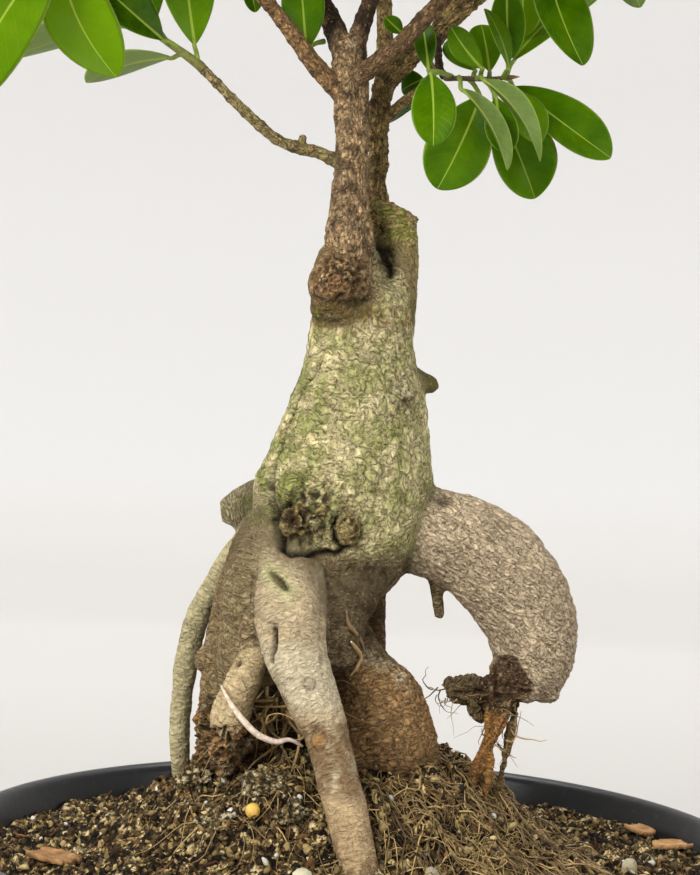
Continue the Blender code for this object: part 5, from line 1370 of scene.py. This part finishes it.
# Fold and sideways bow of the leaves that are not like the rest
LEAF_SHAPES = {
    "leaf_spray_left": {0: (0.22, 0.11)},
    "leaf_spray_right_drooping": {3: (0.30, 0.06), 4: (0.75, 0.0), 5: (0.30, 0.08), 7: (0.30, 0.05)},
    "leaf_spray_right_upper": {0: (0.30, 0.08)},
}


# Pan and potting mix

def wall_radius(height):
    """Inside radius of the pan's wall."""
    share = height / (POT_HEIGHT - 2 * RIM_BEAD_RADIUS)
    return POT_FOOT_RADIUS + (POT_MOUTH_RADIUS - POT_FOOT_RADIUS) * share - POT_WALL


def soil_height(x, y):
    """Top of the potting mix, before its crumbs: level at the wall and heaped round the root crown."""
    away = math.hypot(x - MOUND_CENTRE[0], y - MOUND_CENTRE[1]) / MOUND_RADIUS
    heap = MOUND_HEIGHT / (1 + away ** 6)
    lumps = 0.0012 * math.sin(170 * x + 1.3) * math.cos(150 * y) + 0.0008 * math.sin(310 * (x + y))
    return SOIL_LEVEL + heap + lumps


def turned(name, profile, finishes, sides):
    """A mesh turned round the Z axis from (radius, height) points, the first on the axis."""
    bm = bmesh.new()
    rings = []
    for radius, height in profile:
        count = sides if radius else 1
        turns = [2 * math.pi * k / count for k in range(count)]
        rings.append([bm.verts.new((radius * math.cos(a), radius * math.sin(a), height))
                      for a in turns])
    for low, high in zip(rings, rings[1:]):
        for k in range(sides):
            m = (k + 1) % sides
            corners = low[k % len(low)], low[m % len(low)], high[m % len(high)], high[k % len(high)]
            bm.faces.new(list(dict.fromkeys(corners)))
    return new_object(name, bm, finishes)


def top_of_mix(soil, x, y):
    """The point of the potting mix at x, y, seen from above. None beside the pan."""
    return soil.ray_cast(Vector((x, y, 0.3)), Vector((0, 0, -1)))[0]


def arc(centre, radius, first, last, count):
    """(radius, height) points along an arc, its angles in degrees."""
    angles = [math.radians(first + (last - first) * k / (count - 1)) for k in range(count)]
    return [(centre[0] + radius * math.cos(a), centre[1] + radius * math.sin(a)) for a in angles]


def make_pan(plastic):
    under_bead = POT_HEIGHT - 2 * RIM_BEAD_RADIUS
    bead = (RIM_RADIUS - RIM_BEAD_RADIUS, POT_HEIGHT - RIM_BEAD_RADIUS)
    foot_ring, recess = 0.0035, 0.0008
    slope = (POT_MOUTH_RADIUS - POT_FOOT_RADIUS) / under_bead
    profile = [(0, recess), (POT_FOOT_RADIUS - foot_ring - 0.001, recess),
               (POT_FOOT_RADIUS - foot_ring, 0.0)]
    profile += arc((POT_FOOT_RADIUS - 0.0015, 0.0015), 0.0015, -90, 0, 6)
    for height, step in ((0.010, 0.0), (0.0105, 0.0004), (0.074, 0.0004), (0.0745, 0.0010),
                         (under_bead - 0.001, 0.0010)):
        profile.append((POT_FOOT_RADIUS + slope * height + step - 0.0004, height))
    profile += arc(bead, RIM_BEAD_RADIUS, -110, 165, 22)
    profile += [(wall_radius(under_bead), under_bead), (wall_radius(0.006), 0.006)]
    profile += arc((wall_radius(0.006) - 0.003, 0.006), 0.003, 0, -90, 5)[1:]
    profile.append((0, POT_FLOOR))
    pan = turned("nursery_pan", profile, [plastic], 192)
    holes = bmesh.new()
    for k in range(DRAIN_HOLES):
        a = 2 * math.pi * k / DRAIN_HOLES
        place = Matrix.Translation((DRAIN_RING * math.cos(a), DRAIN_RING * math.sin(a), 0))
        bmesh.ops.create_cone(holes, cap_ends=True, segments=40, radius1=DRAIN_RADIUS,
                              radius2=DRAIN_RADIUS, depth=4 * POT_FLOOR, matrix=place)
    cutter = new_object("drain_cutter", holes, [])
    cut = pan.modifiers.new("drain_holes", "BOOLEAN")
    cut.object = cutter
    cut.operation = "DIFFERENCE"
    evaluated(pan)
    bpy.data.objects.remove(cutter)
    pan.data.shade_smooth()
    pan.data.set_sharp_from_angle(angle=math.radians(40))
    return put(pan, "black_plastic", "pot")


def make_soil(mix):
    rings, sides = ((118, 330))
    wall_top = SOIL_LEVEL - 0.001
    edge = wall_radius(wall_top) - 0.0002
    bottom = POT_FLOOR + GAP
    profile = [(0, bottom), (wall_radius(0.006) - 0.004, bottom), (wall_radius(0.0075) - GAP, 0.0075),
               (wall_radius(0.05) - GAP, 0.05), (edge, wall_top)]
    profile += [(edge * (1 - (k / rings) ** 1.25), 1.0) for k in range(1, rings)] + [(0, 1.0)]
    soil = turned("potting_mix", profile, [mix], sides)
    skin = Skin(soil)
    top = skin.points[:, 2] == 1.0
    p = skin.points[top]
    flat = p * np.array([1, 1, 0])
    heaped = np.array([soil_height(x, y) for x, y in p[:, :2]])
    from_wall = rise(np.hypot(p[:, 0], p[:, 1]), edge, edge - 0.004)
    on_mound = rise(heaped, SOIL_LEVEL + 0.004, SOIL_LEVEL + 0.016)
    lumps = field(flat, 130, 3, 3.0) * (0.0014 + 0.0030 * on_mound)
    crumbs = np.abs(field(flat, 420, 3, 9.0)) * 0.0026 + field(flat, 900, 2, 5.0) * 0.0009
    skin.points[top, 2] = heaped + (lumps + crumbs - 0.0008) * from_wall
    skin.push(np.zeros(len(skin.points)))
    skin.store("tone", field(skin.points, 60, 3, 2.0))
    put(soil, "potting_mix", "soil")
    return BVHTree.FromObject(soil, bpy.context.evaluated_depsgraph_get())


def base_solid(subdivisions):
    bm = bmesh.new()
    bmesh.ops.create_icosphere(bm, subdivisions=subdivisions, radius=1.0)
    bm.verts.ensure_lookup_table()
    points = np.array([v.co for v in bm.verts])
    faces = np.array([[v.index for v in f.verts] for f in bm.faces])
    bm.free()
    return points, faces


def turns_of(draw, count):
    """Random rotation matrices."""
    q = draw.normal(size=(count, 4))
    w, x, y, z = (q / np.linalg.norm(q, axis=1)[:, None]).T
    rows = [1 - 2 * (y * y + z * z), 2 * (x * y - z * w), 2 * (x * z + y * w),
            2 * (x * y + z * w), 1 - 2 * (x * x + z * z), 2 * (y * z - x * w),
            2 * (x * z - y * w), 2 * (y * z + x * w), 1 - 2 * (x * x + y * y)]
    return np.stack(rows, axis=1).reshape(-1, 3, 3)


def make_grains(name, places, sizes, proportions, subdivisions, roughness, finish, seed):
    """Irregular grains joined in one piece, each turned its own way at its place."""
    draw = np.random.default_rng(seed)
    points, faces = base_solid(subdivisions)
    count = len(places)
    jitter = 1 + roughness * draw.uniform(-1, 1, (count, len(points), 1))
    shape = np.array(proportions) * draw.uniform(0.7, 1.3, (count, 3))
    solid = points[None] * jitter * shape[:, None, :] * np.asarray(sizes)[:, None, None]
    solid = np.einsum("nij,nvj->nvi", turns_of(draw, count), solid) + np.asarray(places)[:, None, :]
    every = faces[None] + (np.arange(count) * len(points))[:, None, None]
    mesh = bpy.data.meshes.new(name)
    mesh.from_pydata(solid.reshape(-1, 3).tolist(), [], every.reshape(-1, 3).tolist())
    mesh.shade_smooth()
    mesh.materials.append(finish)
    tones = np.repeat(draw.uniform(-0.5, 0.5, count), len(points))
    layer = mesh.attributes.new("tone", "FLOAT", "POINT")
    layer.data.foreach_set("value", tones.astype(np.float32))
    made = bpy.data.objects.new(name, mesh)
    bpy.context.scene.collection.objects.link(made)
    return put(made, "potting_mix")


def scattered(draw, count, soil, trunk, radius=0.104, around=(0, 0), sink=0.0):
    """Places on the potting mix, evenly spread in a circle and clear of the rootstock."""
    places = []
    while len(places) < count:
        away = radius * math.sqrt(draw.uniform(0, 1))
        turn = draw.uniform(0, 2 * math.pi)
        x, y = around[0] + away * math.cos(turn), around[1] + away * math.sin(turn)
        if math.hypot(x, y) > 0.1045:
            continue
        hit = top_of_mix(soil, x, y)
        place, normal, _, gap = trunk.find_nearest(hit)
        if gap > 0.0008 and (hit - place).dot(normal) > 0:
            places.append((hit.x, hit.y, hit.z - sink))
    return places


def make_fibres(name, starts, lean, length, radius, finish, seed, curl, soil=None):
    """Fine roots: thin wandering tubes, joined in one piece. With soil they lie along it."""
    draw = np.random.default_rng(seed)
    bm = bmesh.new()
    paint = bm.verts.layers.float_color.new("paint")
    for start in starts:
        heading = Vector(lean) + Vector(draw.normal(0, 0.7, 3))
        if soil:
            heading.z *= 0.2
        heading.normalize()
        steps = 6
        whole = length * draw.uniform(0.4, 1.4)
        place = Vector(start)
        thick = radius * draw.uniform(0.5, 1.5)
        path = [(*place, thick)]
        bow = Vector(draw.normal(0, curl, 3))
        for k in range(steps):
            heading = (heading + bow + Vector(draw.normal(0, curl, 3))).normalized()
            place = place + heading * whole / steps
            if soil:
                hit = top_of_mix(soil, place.x, place.y)
                if hit:
                    place.z = 0.25 * place.z + 0.75 * (hit.z + draw.uniform(-0.0008, 0.0018))
            path.append((*place, thick * (1 - 0.13 * (k + 1))))
        shade = draw.uniform(0, 1) ** 1.3
        colour = [a + (b - a) * shade for a, b in zip(rgb(74, 54, 30), rgb(186, 158, 104))]
        for ring in add_tube(bm, path, sides=4, steps=2):
            for vertex in ring:
                vertex[paint] = (*colour, 1.0)
    made = new_object(name, bm, [finish])
    return put(made, "root_bark")


def make_clump(name, centre, half_sizes, finish, soil, seed):
    """A crusted clod of lichen on the heap."""
    bm = bmesh.new()
    hit = top_of_mix(soil, *centre)
    add_ball(bm, (0, 0, 0), half_sizes, 5)
    for vertex in bm.verts:
        out = vertex.co.normalized()
        p = vertex.co + Vector((seed, 0, 0))
        vertex.co += out * (0.0026 * noise.fractal(p * 230, 1.0, 2.0, 3)
                            - 0.0022 * abs(noise.fractal(p * 640, 1.0, 2.0, 3)))
        vertex.co += hit
    made = new_object(name, bm, [finish])
    Skin(made).store("tone", np.zeros(len(made.data.vertices)))
    return put(made, "potting_mix")


def make_chip(number, finish):
    """A flake of bark in place of its CAD solid, with split ends and a grained face."""
    node = f"bark_chip_{number}"
    points = np.array([v.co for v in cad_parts[node].data.vertices])
    centre = points.mean(0)
    flat = points[:, :2] - centre[:2]
    _, _, axes = np.linalg.svd(flat)
    reach = np.abs(flat @ axes.T).max(0)
    low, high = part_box(node)
    bm = bmesh.new()
    bmesh.ops.create_grid(bm, x_segments=26, y_segments=18, size=1.0)
    bmesh.ops.solidify(bm, geom=list(bm.faces), thickness=0.6)
    chance = random.Random(number)
    offset = chance.uniform(0, 50)
    for vertex in bm.verts:
        u, v, w = vertex.co
        frayed = 1 + 0.22 * noise.noise(Vector((offset, v * 5, 0))) * abs(u) + 0.1 * noise.noise(
            Vector((v * 19, offset, 1)))
        narrow = 1 - 0.25 * u * u + 0.15 * noise.noise(Vector((u * 4, offset, 3)))
        grain = 0.16 * noise.noise(Vector((u * 3, v * 17, offset)))
        curl = 0.22 * v * v + 0.15 * u * noise.noise(Vector((offset, 1, 1)))
        along, across = axes[0] * u * frayed * reach[0], axes[1] * v * narrow * reach[1]
        x, y = centre[:2] + along + across
        share = 0.5 + w * 0.9
        z = low.z - 0.0006 + (high.z - low.z) * (share + grain * share + curl)
        vertex.co = (x, y, z)
    made = new_object(f"bark_flake_{number}", bm, [finish])
    Skin(made).store("tone", np.full(len(made.data.vertices), 0.3 * chance.uniform(-1, 1)))
    return put(made, "bark_chip", node)


def make_prill(finish):
    low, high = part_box("fertiliser_prill")
    centre, radius = (low + high) / 2, (high.x - low.x) / 2
    bm = bmesh.new()
    add_ball(bm, (0, 0, 0), (radius, radius * 0.94, radius * 1.05), 4)
    for vertex in bm.verts:
        vertex.co *= 1 + 0.05 * noise.noise(vertex.co * 700)
        vertex.co += centre + Vector((0, 0, -0.0009))
    made = new_object("feed_prill", bm, [finish])
    return put(made, "prill_coat", "fertiliser_prill")


WHITE_ROOT = metres([
    (-38.5, -30, 144, 0.3), (-35, -35, 139.5, 0.7), (-31, -38.5, 135.5, 0.9), (-27, -40, 132.5, 0.9),
    (-22.5, -40.5, 131.2, 0.8), (-19, -40, 131.8, 0.6), (-15.5, -38.5, 130, 0.4)])
BARK_ROOTS = metres([
    [(-5.2, 165), (-4.6, 162), (-2.6, 159.2), (-1, 156), (0.4, 153)],
    [(-3.6, 156.6), (-2.2, 154.5), (-0.8, 151.5), (-1.8, 148.5), (-3.4, 146.2)]])


def make_rootlets(finish, tree):
    """The few fine roots that stand out one by one, painted pale or brown."""
    bm = bmesh.new()
    bm.verts.layers.float_color.new("paint")
    tan, dark = rgb(170, 140, 100), rgb(84, 62, 42)
    add_painted_tube(bm, WHITE_ROOT, 8, 6, rgb(206, 190, 172), rgb(176, 158, 150), 0)
    for places, radius, start in zip(BARK_ROOTS, (0.0006, 0.0007), (dark, tan)):
        path = [(*(Vector(hit) + Vector((0, -0.0004, 0))), radius * share)
                for hit, share in zip(carried_to(tree, places), (0.5, 1.0, 1.0, 0.8, 0.3))]
        add_painted_tube(bm, path, 8, 6, start, tan, 0)
    made = new_object("fine_rootlets", bm, [finish])
    return put(made, "root_bark")


STONES = metres([(-40.6, -62), (20, -52), (-13.6, -60), (52, -40), (-60, -52), (30, 66), (-45, 58),
                 (78, -10), (-74, 24), (4, 90)])
# (x, y) centre and half sizes of each clod of lichen
CLODS = metres([
    ((-23.5, -31.5), (8.2, 5.8, 5)), ((-17.4, -40), (4.6, 3.8, 3.6)), ((-46, -15), (4.8, 4.5, 4.6)),
    ((-37.5, -37), (5.2, 4, 2.6)), ((30, 38), (8, 6, 4)), ((-40, 38), (7, 6, 3.6))])
# Roots that hang free: name, count, the box that they start in as corner and size, lean, length,
# radius, seed and curl
HANGING_ROOTS = (
    ("arch_end_roots", 26, (0.036, -0.010, 0.124), (0.007, 0.008, 0.016), (-0.1, 0.1, -2.6),
     0.012, 0.00024, 33, 0.5),
    ("broken_end_hairs", 30, (0.020, -0.002, 0.1375), (0.020, 0.008, 0.004), (-0.9, -0.1, -1.0),
     0.0085, 0.00016, 34, 0.5),
    ("hollow_roots", 60, (-0.030, -0.020, 0.132), (0.016, 0.012, 0.016), (0.10, -0.15, -1.3),
     0.024, 0.00050, 35, 0.33),
)


def make_mix_grains(draw, few, spread, f):
    """Crumbs, bark shreds and perlite, over the whole pan and more closely on the heap."""
    for kind, count, on_heap, seed in (("crumb", 3600, 2400, 21), ("dark_crumb", 2600, 1500, 25)):
        places = spread(int(count * few), sink=0.0001)
        places += spread(int(on_heap * few), 0.060, MOUND_CENTRE, 0.0001)
        sizes = 0.0003 + 0.0011 * draw.uniform(0, 1, len(places)) ** 2.4
        make_grains(f"mix_{kind}s", places, sizes, (1.3, 1, 0.65), 1, 0.42, f[kind], seed)
    places = spread(int(1100 * few)) + spread(int(420 * few), 0.055, MOUND_CENTRE)
    sizes = draw.uniform(0.0003, 0.0009, len(places))
    make_grains("bark_shreds", places, sizes, (3.0, 1.0, 0.45), 1, 0.22, f["bark_shred"], 22)
    places = spread(95) + spread(34, 0.05, MOUND_CENTRE)
    sizes = draw.uniform(0.0005, 0.0013, len(places))
    make_grains("perlite", places, sizes, (1, 1, 0.85), 2, 0.12, f["perlite_white"], 23)


def make_litter(soil, tree, f):
    """All that lies on the potting mix or hangs over it."""
    draw = np.random.default_rng(11)
    few = 1.0

    def spread(count, *where, **more):
        return scattered(draw, count, soil, tree, *where, **more)

    make_mix_grains(draw, few, spread, f)
    places = [(x, y, top_of_mix(soil, x, y).z + 0.0008) for x, y in STONES]
    sizes = draw.uniform(0.0020, 0.0032, len(places))
    make_grains("light_stones", places, sizes, (1.1, 1.0, 0.7), 3, 0.05, f["light_stone"], 24)
    starts = spread(int(760 * few), 0.056, (0.004, -0.004))
    make_fibres("heap_fibres", starts, (0.2, -0.5, -0.1), 0.020, 0.00020, f["fibre"], 31, 0.4, soil)
    starts = spread(int(620 * few), 0.034, (0.030, -0.014))
    make_fibres("right_heap_fibres", starts, (0.3, -0.5, -0.5), 0.024, 0.00026, f["fibre"], 32, 0.4, soil)
    for name, count, corner, size, lean, length, radius, seed, curl in HANGING_ROOTS:
        starts = [tuple(low + across * draw.uniform(0, 1) for low, across in zip(corner, size))
                  for _ in range(count)]
        make_fibres(name, starts, lean, length, radius, f["fibre"], seed, curl)
    for number, (centre, half_sizes) in enumerate(CLODS):
        make_clump(f"lichen_clod_{number + 1}", centre, half_sizes, f["lichen_crust"], soil, number * 0.7)


# Stage, light and camera

def make_stage():
    """A pale floor that sweeps up on all sides, with painted shade that darkens it towards its middle."""
    f = Finish("pale_floor", 0.85, 0.2)
    x, y = list(f.parts_of(f.place))[:2]
    away = f.maths("SQRT", f.maths("MULTIPLY_ADD", x, x, f.times(y, y)))
    # Painted shade: the floor darker towards its middle
    level = f.mix(f.span(away, 0.6, 1.4), rgb(184, 181, 177), rgb(226, 223, 219))
    f.colour(f.mix(f.span(away, 1.75, 2.0), level, rgb(234, 233, 232)))
    profile = [(0, 0), (0.6, 0)] + arc((1.5, 0.9), 0.9, -90, 0, 16) + [(2.4, 2.6)]
    floor = turned("floor", profile, [f.material], 96)
    floor.visible_shadow = False


def area_light(name, place, target, size, watts, colour=(1, 1, 1)):
    lamp = bpy.data.lights.new(name, "AREA")
    lamp.shape = "DISK"
    lamp.size = size
    lamp.energy = watts
    lamp.color = colour
    made = bpy.data.objects.new(name, lamp)
    made.location = place
    made.rotation_euler = (Vector(target) - Vector(place)).to_track_quat("-Z", "Y").to_euler()
    bpy.context.scene.collection.objects.link(made)


def make_light():
    area_light("window", (-1.0, -1.1, 0.95), (0, 0, 0.22), 0.9, 33, (1.0, 0.993, 0.98))
    area_light("fill", (1.2, -0.9, 0.5), (0, 0, 0.2), 1.0, 9, (0.98, 0.99, 1.0))
    area_light("overhead", (0.0, 0.5, 1.5), (0, 0, 0.2), 1.0, 16)
    world = bpy.data.worlds.new("soft_room")
    world.use_nodes = True
    world.node_tree.nodes["Background"].inputs["Color"].default_value = (1.0, 1.0, 1.0, 1.0)
    world.node_tree.nodes["Background"].inputs["Strength"].default_value = 0.62
    bpy.context.scene.world = world
    bpy.context.scene.view_settings.view_transform = "Standard"


def make_camera():
    """Level with the trunk's middle, half a metre in front, and rolled a little."""
    lens = bpy.data.cameras.new("camera")
    lens.sensor_width = 36
    lens.lens = 73.7
    lens.clip_start = 0.01
    camera = bpy.data.objects.new("camera", lens)
    place = Matrix.Translation((-0.0064, -0.5175, 0.2130))
    camera.matrix_world = (place @ Matrix.Rotation(math.radians(90), 4, "X")
                           @ Matrix.Rotation(math.radians(2.5), 4, "Z"))
    bpy.context.scene.collection.objects.link(camera)
    bpy.context.scene.camera = camera


# Shades from dark to pale, grain scale, bump depth and roughness of the granular finishes
SPECKLED = {
    "crumb": ((72, 57, 34), (140, 119, 74), (206, 186, 130), 420, 0.0004, 0.95),
    "dark_crumb": ((26, 19, 12), (58, 43, 26), (96, 74, 44), 420, 0.0004, 0.95),
    "bark_shred": ((58, 38, 22), (116, 84, 50), (172, 142, 98), 300, 0.0004, 0.95),
    "perlite_white": ((176, 170, 156), (214, 210, 198), (236, 234, 228), 600, 0.0004, 0.95),
    "light_stone": ((140, 130, 104), (184, 176, 148), (208, 202, 176), 300, 0.0005, 0.95),
    "chip_bark": ((110, 78, 48), (168, 128, 84), (204, 170, 120), 260, 0.0006, 0.95),
    "prill_coating": ((196, 152, 66), (224, 184, 98), (240, 214, 148), 480, 0.0003, 0.5),
}
GRANULAR = {
    "mix_surface": (((18, 13, 8), (52, 40, 24), (106, 84, 50), (160, 134, 86), (212, 192, 146)),
                    430, 0.0010),
    "lichen_crust": (((92, 74, 46), (130, 111, 76), (158, 141, 102), (184, 168, 130),
                      (206, 194, 160)), 620, 0.0006),
}


def main():
    make_camera()
    make_light()
    make_stage()
    finishes = {name: speckled_finish(name, *look) for name, look in SPECKLED.items()}
    finishes.update({name: granular_finish(name, *look) for name, look in GRANULAR.items()})
    finishes["fibre"] = twig_finish()
    tree = make_rootstock(bark_finish())
    stem_bark = stem_finish()
    make_stem("stem_front", STEM_FRONT, stem_bark)
    make_stem("stem_rear", STEM_REAR, stem_bark)
    make_pan(plastic_finish())
    soil = make_soil(finishes["mix_surface"])
    make_litter(soil, tree, finishes)
    make_rootlets(finishes["fibre"], tree)
    for number in range(1, 5):
        make_chip(number, finishes["chip_bark"])
    make_prill(finishes["prill_coating"])
    leaf_finishes = [leaf_finish("leaf_upper", False), leaf_finish("leaf_under", True),
                     finishes["fibre"]]
    for number, (name, (shoot, leaves)) in enumerate(crown().items()):
        make_fine_spray(number, name, shoot, leaves, leaf_finishes)
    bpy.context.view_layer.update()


main()
